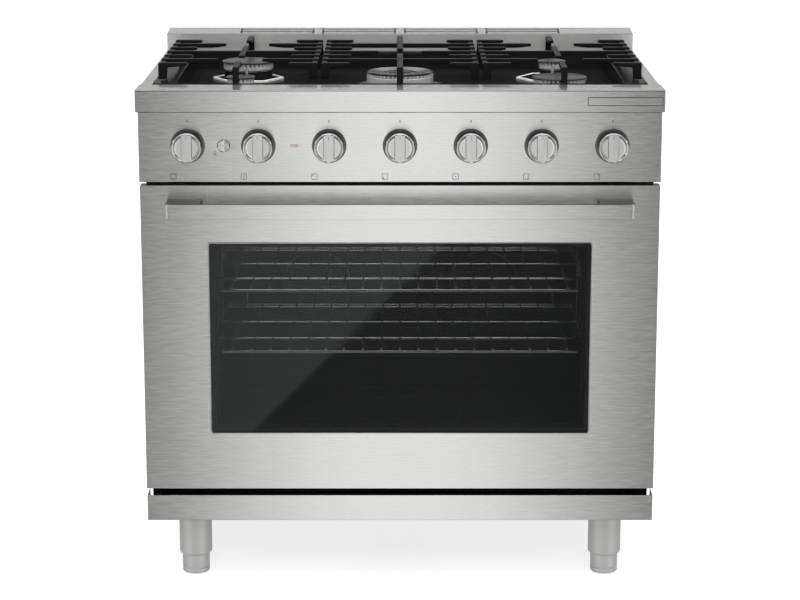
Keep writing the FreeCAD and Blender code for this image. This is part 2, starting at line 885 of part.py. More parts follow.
def make_fan(name, side):
    """Impeller with upright blades and the shaft that its motor drives."""
    x = size.fan_x * side
    rear = size.oven_rear - 2.5
    hub = rod(f"{name}_hub", 10, (x, depth(rear - 12), size.fan_height), 12, "y")
    disc = rod(f"{name}_disc", size.fan_radius, (x, depth(rear - 1.5), size.fan_height), 1.5, "y")
    shaft = rod(f"{name}_shaft", size.stem_radius, (x, depth(rear - 1), size.fan_height), 20, "y")
    blades = []
    for number in range(FAN_BLADES):
        blade = block(f"{name}_blade_{number}", (0, size.sheet), (0, 11), (0, size.blade_length))
        turn = FreeCAD.Rotation(ABOUT_Y, 360 * number / FAN_BLADES)
        offset = turn.multVec(FreeCAD.Vector(-SIZES["sheet"] / 2, 0, SIZES["blade_length"]))
        place(blade, (x + offset.x, depth(rear - 12), size.fan_height + offset.z), turn)
        blades.append(blade)
    return fuse(name, [hub, disc, shaft] + blades)


def make_fan_motors():
    motors = []
    for side in BOTH_SIDES:
        start = size.oven_rear + size.sheet + 1
        bore = size.stem_radius + size.running_fit
        motors.append(turned(f"motor_{side}",
                             [(bore, 0), (size.motor_radius - 3, 0), (size.motor_radius, 3),
                              (size.motor_radius, size.motor_length), (0, size.motor_length),
                              (0, 20), (bore, 20)],
                             (size.fan_x * side, depth(start), size.fan_height), ALONG["y"]))
    return group("fan_motors", motors)


def make_oven_lamp():
    """Glass dome in front of the rear wall, with its holder behind."""
    back = 24
    return turned("oven_lamp",
                  [(0, 0), (size.lamp_radius - 7, 0), (size.lamp_radius - 7, back),
                   (size.lamp_radius, back), (size.lamp_radius, back + 3),
                   (size.lamp_radius - 6, back + 9), (size.lamp_radius - 14, back + 12), (0, back + 12)],
                  (0, depth(size.oven_rear + back), size.lamp_height), FORWARD)


# Door

def make_door_outer_frame():
    """Front sheet with four returns, the window opening and two hinge notches."""
    front = depth(size.door_face)
    outer = block("door_outer", both(size.door_half), (front, depth(size.door_face + 24)),
                  (size.door_bottom, size.door_top))
    inner = block("door_hollow", both(size.door_half - size.sheet),
                  (front + size.sheet, depth(size.door_face + 25)),
                  (size.door_bottom + size.sheet, size.door_top - size.sheet))
    window = block("door_window", both(size.window_half), (front - 1, front + 5),
                   (size.window_bottom, size.window_top))
    return cut("door_outer_frame", outer, [inner, window] + hinge_notches("outer_notch"))


def hinge_notches(name):
    """Room for the fixed hinge ears, open downwards and inwards."""
    return [block(f"{name}_{side}",
                  (size.hinge_x * side - size.notch_half, size.hinge_x * side + size.notch_half),
                  (depth(size.notch_front), depth(size.door_back + 5)),
                  (size.door_bottom - 5, size.notch_top)) for side in BOTH_SIDES]


def make_door_glass():
    return block("door_glass", both(size.window_half - size.gap),
                 (depth(size.door_face + size.gap), depth(size.door_face + 4.5)),
                 (size.window_bottom + size.gap, size.window_top - size.gap))


def make_door_inner_panel():
    """Inner sheet with a tunnel to the outer glass, and lugs for the hinge pins."""
    half = size.door_half - size.sheet * 2
    sheet = block("inner_sheet", both(half), (depth(size.door_back - size.sheet), depth(size.door_back)),
                  (size.door_bottom + size.sheet * 2, size.door_top - size.sheet * 2))
    returns = block("inner_returns", both(half), (depth(size.door_face + 24.5), depth(size.door_back)),
                    (size.door_bottom + size.sheet * 2, size.door_top - size.sheet * 2))
    hollow = block("inner_hollow", both(half - size.sheet),
                   (depth(size.door_face + 20), depth(size.door_back - size.sheet)),
                   (size.door_bottom + size.sheet * 3, size.door_top - size.sheet * 3))
    pan = cut("inner_pan", fuse("inner_blank", [sheet, returns]), [hollow])
    tunnel = block("tunnel_outer", both(size.tunnel_half + size.tunnel_wall),
                   (depth(size.door_face + size.sheet), depth(size.door_back - 1)),
                   (size.tunnel_bottom - size.tunnel_wall, size.tunnel_top + size.tunnel_wall))
    lugs = []
    for side in BOTH_SIDES:
        for hand in BOTH_SIDES:
            near = size.hinge_x * side + size.notch_half * hand
            far = near + size.lug_width * hand
            lugs.append(block(f"lug_{side}_{hand}", (near, far) if hand > 0 else (far, near),
                              (depth(size.notch_front), depth(size.door_back - 1)),
                              (size.door_bottom + size.sheet * 2 + 1, size.notch_top)))
    solid = fuse("inner_solid", [pan, tunnel] + lugs)
    tools = hinge_notches("inner_notch")
    tools.append(block("tunnel_bore", both(size.tunnel_half),
                       (depth(0), depth(size.door_back - size.sheet)),
                       (size.tunnel_bottom, size.tunnel_top)))
    tools.append(block("inner_window", both(size.inner_window_half), (depth(30), depth(50)),
                       (size.tunnel_bottom + 6, size.tunnel_top - 6)))
    tools.append(block("glass_rebate", both(size.window_half), (depth(0), depth(size.door_face + 4.5)),
                       (size.window_bottom, size.window_top)))
    for side in BOTH_SIDES:
        tools.append(rod(f"pin_bore_{side}", size.stem_radius + size.running_fit,
                         (size.hinge_x * side - 30, depth(size.hinge_depth), size.hinge_height), 60, "x"))
    return cut("door_inner_panel", solid, tools)


def make_door_inner_glass():
    rear = depth(size.door_back - size.sheet)
    return block("door_inner_glass", both(size.tunnel_half - size.gap), (rear - 4, rear),
                 (size.tunnel_bottom + size.gap, size.tunnel_top - size.gap))


def make_door_hinges():
    """Fixed ears on the cavity flange, each with the pin that the door turns on."""
    hinges = []
    for side in BOTH_SIDES:
        x = size.hinge_x * side
        ear = block(f"ear_{side}", (x - size.hinge_ear / 2, x + size.hinge_ear / 2),
                    (depth(size.hinge_depth - 8), depth(size.chassis_front)),
                    (size.hinge_height - size.ear_half_height, size.hinge_height + size.ear_half_height))
        pin = rod(f"pin_{side}", size.stem_radius,
                  (x - size.pin_half, depth(size.hinge_depth), size.hinge_height),
                  size.pin_half * 2, "x")
        hinges.append(fuse(f"hinge_{side}", [ear, pin]))
    return group("door_hinges", hinges)


def make_handle_bar():
    return block("handle_bar", both(size.handle_half),
                 (depth(size.handle_face), depth(size.handle_face + size.handle_thickness)),
                 (size.handle_bottom, size.handle_top))


def make_handle_brackets():
    brackets = []
    inner = size.bracket_outer - size.bracket_width
    for side in BOTH_SIDES:
        x = (-size.bracket_outer, -inner) if side < 0 else (inner, size.bracket_outer)
        brackets.append(block(f"bracket_{side}", x,
                              (depth(size.handle_face + size.handle_thickness), depth(size.door_face)),
                              (size.handle_bottom + 1, size.handle_top)))
    return group("handle_brackets", brackets)


# Burners

def make_burner_bases():
    """Mixing cups that pass up through the tray and carry the heads."""
    bases = []
    neck = size.neck_radius
    seats = [(name, x, row, cap - 8, size.head_bottom) for name, (x, row, cap) in BURNERS.items()]
    seats.append(("middle", 0, size.middle_row, size.ring_outer - 4, size.ring_bottom))
    for name, x, row, seat_radius, seat in seats:
        start = size.neck_bottom
        boss_top = size.well_floor + size.boss_height - start
        bases.append(turned(f"base_{name}",
                            [(0, 0), (neck + 6, 0), (neck + 6, 20), (neck, 20), (neck, boss_top + 1),
                             (seat_radius, boss_top + 1), (seat_radius, seat - start),
                             (0, seat - start)],
                            (x, depth(row), start)))
    return group("burner_bases", bases)


def make_burner_heads():
    """Cast rings whose ports the caps cover; the middle burner has a ring and a core."""
    height = size.head_top - size.head_bottom
    heads = []
    for name, (x, row, cap) in BURNERS.items():
        heads.append(turned(f"head_{name}",
                            [(0, 0), (cap - 5, 0), (cap - 2, 3), (cap - 2, height), (cap - 8, height),
                             (cap - 10, height - 4), (0, height - 4)],
                            (x, depth(row), size.head_bottom)))
    ring_height = size.ring_top - size.ring_bottom
    heads.append(turned("head_ring",
                        [(size.ring_inner + 3, 0), (size.ring_outer + 1, 0),
                         (size.ring_outer + 2, 3), (size.ring_outer, ring_height),
                         (size.ring_inner + 3, ring_height)],
                        (0, depth(size.middle_row), size.ring_bottom)))
    heads.append(turned("head_core",
                        [(0, 0), (size.core_cap + 3, 0), (size.core_cap + 3, 6),
                         (size.core_cap - 2, ring_height), (0, ring_height)],
                        (0, depth(size.middle_row), size.ring_bottom)))
    return group("burner_heads", heads)


def make_cap(name):
    """Enamelled lid with a plug that centres it in the head."""
    x, row, radius = BURNERS[name]
    lift = 0.4
    thick = size.cap_thickness
    plug = radius - 11
    base = size.head_top + lift - 3
    return turned(f"cap_{name}",
                  [(0, 0), (plug, 0), (plug, 3), (radius, 3), (radius, 1.8 + thick),
                   (radius - 2, 3 + thick), (0, 3 + thick)],
                  (x, depth(row), base))


def make_ring_cap():
    thick = size.cap_thickness
    return turned("cap_ring",
                  [(size.ring_inner, 0), (size.ring_outer, 0), (size.ring_outer, thick - 1.2),
                   (size.ring_outer - 2, thick), (size.ring_inner + 2, thick),
                   (size.ring_inner, thick - 1.2)],
                  (0, depth(size.middle_row), size.ring_top + 0.4))


def make_core_cap():
    thick = size.cap_thickness
    return turned("cap_core",
                  [(0, 0), (size.core_cap, 0), (size.core_cap, thick - 1.2), (size.core_cap - 2, thick),
                   (0, thick)],
                  (0, depth(size.middle_row), size.ring_top + 0.4))


def make_igniters():
    """A ceramic electrode in front of each burner."""
    pins = []
    base = size.well_floor + size.boss_height
    for name, (x, row, cap) in BURNERS.items():
        pins.append(rod(f"igniter_{name}", size.igniter_radius, (x, depth(row - cap) - 4, base),
                        size.head_top - 4 - base, "z"))
    pins.append(rod("igniter_middle", size.igniter_radius,
                    (0, depth(size.middle_row - size.ring_outer) - 6, base),
                    size.ring_top - 4 - base, "z"))
    return group("igniters", pins)


# Grates

def finger(name, x, row, bottom):
    """A bar across the grate at one row."""
    half = size.bar_width / 2
    return block(name, x, (depth(row) - half, depth(row) + half), (bottom, size.grate_top))


def side_rails(name, inner, outer, front, rear):
    """The two long rails that join the rows, with a leg at each end."""
    top = size.grate_top - size.rail_drop
    pieces = []
    rails = ((inner, inner + size.rail_width), (outer - size.rail_width, outer))
    legs = ((inner, inner + size.grate_leg_width), (outer - size.grate_leg_width, outer))
    half = size.bar_width / 2
    for side, (rail, leg) in enumerate(zip(rails, legs)):
        pieces.append(block(f"{name}_rail_{side}", rail, (depth(front) - half, depth(rear) + half),
                            (top - size.rail_height, top)))
        for row in (front, rear):
            pieces.append(block(f"{name}_leg_{side}_{row.value:.0f}", leg,
                                (depth(row) - half, depth(row) + half),
                                (size.grate_foot, size.grate_top)))
    return pieces


def spine(name, x, gaps):
    """The bar along the middle, with a leg at each end and a gap over each burner."""
    half = size.bar_width / 2
    bottom = size.grate_top - size.finger_height
    ends = [size.spine_front] + [edge for gap in gaps for edge in gap] + [size.spine_rear]
    pieces = []
    for number in range(0, len(ends), 2):
        pieces.append(block(f"{name}_spine_{number}", (x - half, x + half),
                            (depth(ends[number]), depth(ends[number + 1])), (bottom, size.grate_top)))
    for end, low in (("front", size.spine_front), ("rear", size.spine_rear - size.bar_width)):
        pieces.append(block(f"{name}_spine_leg_{end}", (x - half, x + half),
                            (depth(low), depth(low + size.bar_width)), (size.grate_foot, size.grate_top)))
    return pieces


def make_grate(name, inner, outer, gaps, full_rows, long_rows):
    """Seven rows between two rails; some rows run right across."""
    middle = (inner + outer) / 2
    front = size.middle_row - size.row_pitch * 3
    rear = size.middle_row + size.row_pitch * 3
    bottom = size.grate_top - size.finger_height
    pieces = side_rails(name, inner, outer, front, rear) + spine(name, middle, gaps)
    for number in range(-3, 4):
        row = size.middle_row + size.row_pitch * number
        if number in full_rows:
            pieces.append(finger(f"{name}_row_{number}", (inner, outer), row, bottom))
            continue
        reach = size.long_finger if number in long_rows else size.short_finger
        pieces.append(finger(f"{name}_left_{number}", (inner, inner + reach), row, bottom))
        pieces.append(finger(f"{name}_right_{number}", (outer - reach, outer), row, bottom))
    return fuse(name, pieces)


SIDE_GAPS = ((166, 245), (400, 481))
MIDDLE_GAPS = ((280, 356),)


def make_grates():
    return [
        make_grate("left_grate", -size.side_grate_outer, -size.side_grate_inner, SIDE_GAPS,
                   (0,), (-2, 2)),
        make_grate("centre_grate", -size.middle_grate_half, size.middle_grate_half, MIDDLE_GAPS,
                   (-2, 2), (0,)),
        make_grate("right_grate", size.side_grate_inner, size.side_grate_outer, SIDE_GAPS,
                   (0,), (-2, 2)),
    ]


# Gas and power

def make_gas_pipework():
    """Manifold with the pipe to the rear inlet, and a tube from each valve to its burner."""
    z = size.knob_height
    manifold_y = depth(size.valve_rear + size.manifold_radius)
    inlet_start = depth(size.inlet_end - size.inlet_thread)
    rail = rod("manifold", size.manifold_radius, (-size.manifold_half, manifold_y, z),
               size.manifold_half * 2, "x")
    feed = pipe("feed", size.feed_radius,
                [(size.inlet_x, manifold_y, z), (size.inlet_x, depth(size.feed_depth), z),
                 (size.inlet_x, depth(size.feed_depth), size.inlet_height),
                 (size.inlet_x, inlet_start + 1, size.inlet_height)])
    thread = rod("inlet_thread", size.inlet_radius, (size.inlet_x, inlet_start, size.inlet_height),
                 size.inlet_thread, "y")
    pieces = [fuse("manifold_and_feed", [rail, feed, thread])]
    routes = {
        "front_left": (1, -size.column, size.front_row),
        "rear_left": (2, -size.column, size.rear_row),
        "middle": (4, as_size(0), size.middle_row),
        "rear_right": (6, size.column, size.rear_row),
        "front_right": (7, size.column, size.front_row),
    }
    valve_y = depth((size.valve_front + size.valve_rear) / 2)
    for name, (number, x, row) in routes.items():
        start_x = knob_x(number)
        points = [(start_x, valve_y, z + size.valve_half), (start_x, valve_y, size.tube_height),
                  (start_x, depth(row), size.tube_height), (x, depth(row), size.tube_height),
                  (x, depth(row), size.neck_bottom)]
        pieces.append(pipe(f"supply_{name}", size.tube_radius, points))
    return group("gas_pipework", pieces)


def make_power_inlet():
    """Terminal box on the back panel with a round gland for the mains lead."""
    rear = depth(size.chassis_rear)
    box = block("power_box", (size.power_x - 45, size.power_x + 45), (rear - 40, rear),
                (size.power_height - 30, size.power_height + 30))
    collar = rod("power_gland", size.gland_radius, (size.power_x, rear - 1, size.power_height),
                 size.gland_length + 1, "y")
    bore = rod("power_bore", size.gland_bore, (size.power_x, rear - 10, size.power_height), 30, "y")
    return cut("power_inlet", fuse("power_body", [box, collar]), [bore])


def make_all():
    parts = [
        make_front_trim(), make_badge_plate(), make_cooktop_frame(), make_spill_tray(),
        make_backguard(), make_control_panel(), make_knob_bezels(), make_gas_valves(),
        make_light_button(), make_indicator_lens(), make_base_pan(), make_side_panels(),
        make_back_panel(), make_panel_screws(), make_kick_panel(), make_leg_sleeves(),
        make_oven_liner(), make_insulation(), make_door_gasket(), make_oven_burner(),
        make_rack_guides(), make_rack("oven_rack_upper", size.rack_high),
        make_rack("oven_rack_lower", size.rack_low), make_fan_covers(), make_fan("fan_left", -1),
        make_fan("fan_right", 1), make_fan_motors(), make_oven_lamp(), make_door_outer_frame(),
        make_door_glass(), make_door_inner_panel(), make_door_inner_glass(), make_door_hinges(),
        make_handle_bar(), make_handle_brackets(), make_burner_bases(), make_burner_heads(),
        make_ring_cap(), make_core_cap(), make_igniters(), make_gas_pipework(), make_power_inlet(),
    ]
    parts += [make_knob(number) for number in KNOB_NUMBERS]
    parts += [make_cap(name) for name in BURNERS]
    parts += [make_foot(name) for name in LEGS]
    parts += make_grates()
    return parts


def check(parts):
    """Stops with a message if anything in the document failed to build."""
    for item in doc.Objects:
        if "Invalid" in item.State or "Error" in item.State:
            raise SystemExit(f"{item.Name} failed: {item.State}")
    for item in parts:
        if item.Shape.isNull() or not item.Shape.isValid() or not item.Shape.Solids:
            raise SystemExit(f"{item.Label} has no valid solid")


def export(parts):
    os.makedirs("parts", exist_ok=True)
    for item in parts:
        item.Shape.exportStep(f"parts/{item.Label}.step")


all_parts = make_all()
doc.recompute()
check(all_parts)
export(all_parts)
print(len(all_parts), "sub-parts written")
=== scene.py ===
import json
import math

import bmesh
import bpy
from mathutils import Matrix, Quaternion, Vector

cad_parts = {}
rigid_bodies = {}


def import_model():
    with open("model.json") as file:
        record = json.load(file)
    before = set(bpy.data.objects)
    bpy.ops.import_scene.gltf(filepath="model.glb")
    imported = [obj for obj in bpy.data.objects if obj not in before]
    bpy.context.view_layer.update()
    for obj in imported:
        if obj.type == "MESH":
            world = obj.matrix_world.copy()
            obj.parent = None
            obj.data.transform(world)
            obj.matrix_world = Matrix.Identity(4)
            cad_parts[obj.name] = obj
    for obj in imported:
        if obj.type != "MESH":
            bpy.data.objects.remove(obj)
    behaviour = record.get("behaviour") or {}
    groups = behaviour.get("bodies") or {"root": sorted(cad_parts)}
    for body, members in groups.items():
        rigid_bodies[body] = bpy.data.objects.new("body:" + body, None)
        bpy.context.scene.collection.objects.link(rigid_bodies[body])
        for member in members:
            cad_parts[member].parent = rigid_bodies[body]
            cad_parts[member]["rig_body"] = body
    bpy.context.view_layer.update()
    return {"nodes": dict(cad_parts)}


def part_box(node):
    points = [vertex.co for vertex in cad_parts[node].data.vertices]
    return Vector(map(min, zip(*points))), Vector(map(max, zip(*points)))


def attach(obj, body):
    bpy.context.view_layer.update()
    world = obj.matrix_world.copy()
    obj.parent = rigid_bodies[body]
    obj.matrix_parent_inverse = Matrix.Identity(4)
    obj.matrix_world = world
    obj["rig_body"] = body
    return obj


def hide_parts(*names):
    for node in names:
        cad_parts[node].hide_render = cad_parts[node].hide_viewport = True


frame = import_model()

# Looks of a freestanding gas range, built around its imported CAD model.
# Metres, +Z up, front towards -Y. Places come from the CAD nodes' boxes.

MM = 0.001
SIDES = (-1, 1)
UP = Vector((0, 0, 1))
FORWARD = Vector((0, -1, 0))
SHEET = 1.5 * MM
WIDEST = 1  # a corner radius that is cut down to what the edges beside it allow


# Outlines, as lists of two-dimensional points

def rounded(points, closed=True, steps=4):
    """A path whose points (u, v, radius) have their corners rounded by arcs."""
    made = []
    for i, point in enumerate(points):
        here = Vector(point[:2])
        radius = point[2] if len(point) > 2 else 0
        if not radius or (not closed and i in (0, len(points) - 1)):
            made.append(here)
            continue
        before = Vector(points[i - 1][:2]) - here
        after = Vector(points[(i + 1) % len(points)][:2]) - here
        half = before.angle(after) / 2
        reach = min(radius / math.tan(half), before.length * 0.49, after.length * 0.49)
        to_centre = (before.normalized() + after.normalized()).normalized()
        centre = here + to_centre * reach / math.cos(half)
        start = here + before.normalized() * reach - centre
        end = here + after.normalized() * reach - centre
        sweep = start.angle(end)
        for k in range(steps + 1):
            first = math.sin((1 - k / steps) * sweep) / math.sin(sweep)
            last = math.sin(k / steps * sweep) / math.sin(sweep)
            made.append(centre + start * first + end * last)
    return made


def rectangle(low_u, low_v, high_u, high_v, radius=0, steps=4):
    return rounded([(low_u, low_v, radius), (high_u, low_v, radius),
                    (high_u, high_v, radius), (low_u, high_v, radius)], steps=steps)


def ring(u, v, radius, steps=48, turn=0):
    return [Vector((u + radius * math.cos(turn + math.tau * k / steps),
                    v + radius * math.sin(turn + math.tau * k / steps))) for k in range(steps)]


def moved_left(loop, distance):
    """A closed outline with every edge moved to its left."""
    made = []
    for i, here in enumerate(loop):
        ahead = (loop[(i + 1) % len(loop)] - here).normalized()
        behind = (here - loop[i - 1]).normalized()
        left = Vector((-ahead.y - behind.y, ahead.x + behind.x)).normalized()
        made.append(here + left * distance / max(0.3, left.dot(Vector((-ahead.y, ahead.x)))))
    return made


def runs_left(loop):
    """True for an outline that runs anticlockwise."""
    return sum(loop[i - 1].x * here.y - here.x * loop[i - 1].y for i, here in enumerate(loop)) > 0


# Solids, added to a bmesh

PLANES = {"X": lambda u, v, w: (w, u, v), "Y": lambda u, v, w: (u, w, v), "Z": lambda u, v, w: (u, v, w)}


def rim(edge, steps):
    """(inset, distance from the end) along a rounded rim, from the end face to the side."""
    if not edge:
        return [(0, 0)]
    turns = [math.pi / 2 * k / steps for k in range(steps + 1)]
    return [(edge * (1 - math.sin(turn)), edge * (1 - math.cos(turn))) for turn in turns]


def slab(bm, loops, low, high, axis="Z", edge=0, low_edge=None, steps=2):
    """Adds a plate from low to high along an axis: loops are its outline and then its holes."""
    low_rim = rim(edge if low_edge is None else low_edge, steps)
    levels = [(d, low + w) for d, w in low_rim] + [(d, high - w) for d, w in reversed(rim(edge, steps))]
    caps = ([], [])
    for number, loop in enumerate(loops):
        if runs_left(loop) != (number == 0):
            loop = loop[::-1]
        rows = [[bm.verts.new(PLANES[axis](p.x, p.y, w)) for p in moved_left(loop, d)] for d, w in levels]
        wrap(bm, rows)
        for cap, row in zip(caps, (rows[0], rows[-1])):
            cap.append(row)
    for cap in caps:
        if len(cap) == 1:
            bm.faces.new(cap[0])
        else:
            edges = [bm.edges.get((row[i], row[i - 1])) for row in cap for i in range(len(row))]
            bmesh.ops.triangle_fill(bm, use_beauty=True, edges=edges)


def wrap(bm, rows):
    """Joins rows of vertices, each a closed loop or a single point, by faces."""
    for a, b in zip(rows, rows[1:]):
        count = max(len(a), len(b))
        for i in range(count):
            j = (i + 1) % count
            corners = [a[i % len(a)], a[j % len(a)], b[j % len(b)], b[i % len(b)]]
            bm.faces.new(list(dict.fromkeys(corners)))


def lathe(bm, profile, centre, axis, steps=48):
    """Adds a turned solid: profile is (radius, height) points, closed on the axis or into a ring."""
    side = axis.orthogonal().normalized()
    other = axis.cross(side)
    rows = []
    for radius, height in profile:
        base = Vector(centre) + axis * height
        spokes = ring(0, 0, radius, steps) if radius > 1e-7 else [Vector((0, 0))]
        rows.append([bm.verts.new(base + side * p.x + other * p.y) for p in spokes])
    if len(rows[0]) > 1:
        rows.append(rows[0])
    wrap(bm, rows)


# Pieces

CORNER_SEARCH = 9 * MM
FOLD_ANGLE = 35  # degrees between faces from which an edge counts as a fold


def piece(name, bm, body, finish, *nodes, sharp=FOLD_ANGLE, turn=True):
    """A finished piece from a bmesh, riding on a CAD body and standing for CAD nodes.

    sharp is the angle in degrees from which an edge is shaded sharp, and turn makes the faces
    point outwards.
    """
    if turn:
        bmesh.ops.recalc_face_normals(bm, faces=bm.faces)
    mesh = bpy.data.meshes.new(name)
    bm.to_mesh(mesh)
    bm.free()
    mesh.polygons.foreach_set("use_smooth", [True] * len(mesh.polygons))
    mesh.set_sharp_from_angle(angle=math.radians(sharp))
    made = bpy.data.objects.new(name, mesh)
    made.data.materials.append(FINISHES[finish])
    bpy.context.scene.collection.objects.link(made)
    weighted = made.modifiers.new("weighted_normals", "WEIGHTED_NORMAL")
    weighted.keep_sharp = True
    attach(made, body)
    if nodes:
        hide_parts(*nodes)
    return made


def refined(node, finish, width=0.6 * MM, steps=2, corners=(), radius=0):
    """The CAD node's own shape with rounded edges, standing for it.

    corners are (x, z) places whose edges along Y are rounded by the given radius first.
    """
    source = frame["nodes"][node]
    bm = bmesh.new()
    bm.from_mesh(source.data)
    bmesh.ops.remove_doubles(bm, verts=bm.verts, dist=0.01 * MM)
    if corners:
        def is_corner(vert):
            return any(abs(vert.co.x - x) + abs(vert.co.z - z) < CORNER_SEARCH for x, z in corners)

        chosen = [e for e in bm.edges if all(is_corner(v) for v in e.verts)]
        bmesh.ops.bevel(bm, geom=chosen, offset=radius, segments=5, profile=0.5, affect="EDGES")
    folds = [e for e in bm.edges if e.is_manifold and e.calc_face_angle() > math.radians(FOLD_ANGLE)]
    bmesh.ops.bevel(bm, geom=folds, offset=width, segments=steps, profile=0.5, affect="EDGES",
                    clamp_overlap=True)
    return piece(f"{node}_finished", bm, source["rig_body"], finish, node, turn=False)


def kept(node, finish):
    """A CAD node that is shown as it is, with its finish."""
    source = frame["nodes"][node]
    for material_slot in source.material_slots:
        material_slot.material = FINISHES[finish]


def middle(node):
    low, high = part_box(node)
    return (low + high) / 2


# Finishes

def surface(name, colour, vary, roughness, scale, bump=0, wear=0.05, tangent=None, detail=4, **constants):
    """A procedural finish. Noise of the given scale per metre varies its colour, roughness and height.

    vary is the share by which the colour changes, roughness its lowest and highest value, bump the
    height of the texture, and wear how much broad smudges add to the roughness.
    """
    material = bpy.data.materials.new(name)
    material.use_nodes = True
    nodes, links = material.node_tree.nodes, material.node_tree.links
    shader = nodes["Principled BSDF"]
    for socket, value in constants.items():
        shader.inputs[socket.replace("_", " ").title().replace("Ior", "IOR")].default_value = value

    place = nodes.new("ShaderNodeTexCoord")
    stretch = nodes.new("ShaderNodeMapping")
    stretch.inputs["Scale"].default_value = scale
    links.new(place.outputs["Object"], stretch.inputs["Vector"])
    fine = nodes.new("ShaderNodeTexNoise")
    fine.inputs["Scale"].default_value = 1
    fine.inputs["Detail"].default_value = detail
    links.new(stretch.outputs["Vector"], fine.inputs["Vector"])
    broad = nodes.new("ShaderNodeTexNoise")
    broad.inputs["Scale"].default_value = 7
    broad.inputs["Detail"].default_value = 3
    links.new(place.outputs["Object"], broad.inputs["Vector"])

    tint = nodes.new("ShaderNodeMix")
    tint.data_type = "RGBA"
    tint.inputs["A"].default_value = (*(c * (1 - vary) for c in colour), 1)
    tint.inputs["B"].default_value = (*(min(1, c * (1 + vary)) for c in colour), 1)
    links.new(fine.outputs["Fac"], tint.inputs["Factor"])
    links.new(tint.outputs["Result"], shader.inputs["Base Color"])

    polish = nodes.new("ShaderNodeMapRange")
    polish.inputs["From Min"].default_value = 0.3
    polish.inputs["From Max"].default_value = 0.7
    polish.inputs["To Min"].default_value, polish.inputs["To Max"].default_value = roughness
    links.new(fine.outputs["Fac"], polish.inputs["Value"])
    smudge = nodes.new("ShaderNodeMath")
    smudge.operation = "MULTIPLY_ADD"
    smudge.inputs[1].default_value = wear
    links.new(broad.outputs["Fac"], smudge.inputs[0])
    links.new(polish.outputs["Result"], smudge.inputs[2])
    links.new(smudge.outputs["Value"], shader.inputs["Roughness"])

    if bump:
        height = nodes.new("ShaderNodeBump")
        height.inputs["Strength"].default_value = 0.6
        height.inputs["Distance"].default_value = bump
        links.new(fine.outputs["Fac"], height.inputs["Height"])
        links.new(height.outputs["Normal"], shader.inputs["Normal"])
    if tangent:
        turn = nodes.new("ShaderNodeTangent")
        turn.direction_type = "RADIAL"
        turn.axis = tangent
        links.new(turn.outputs["Tangent"], shader.inputs["Tangent"])
    return material


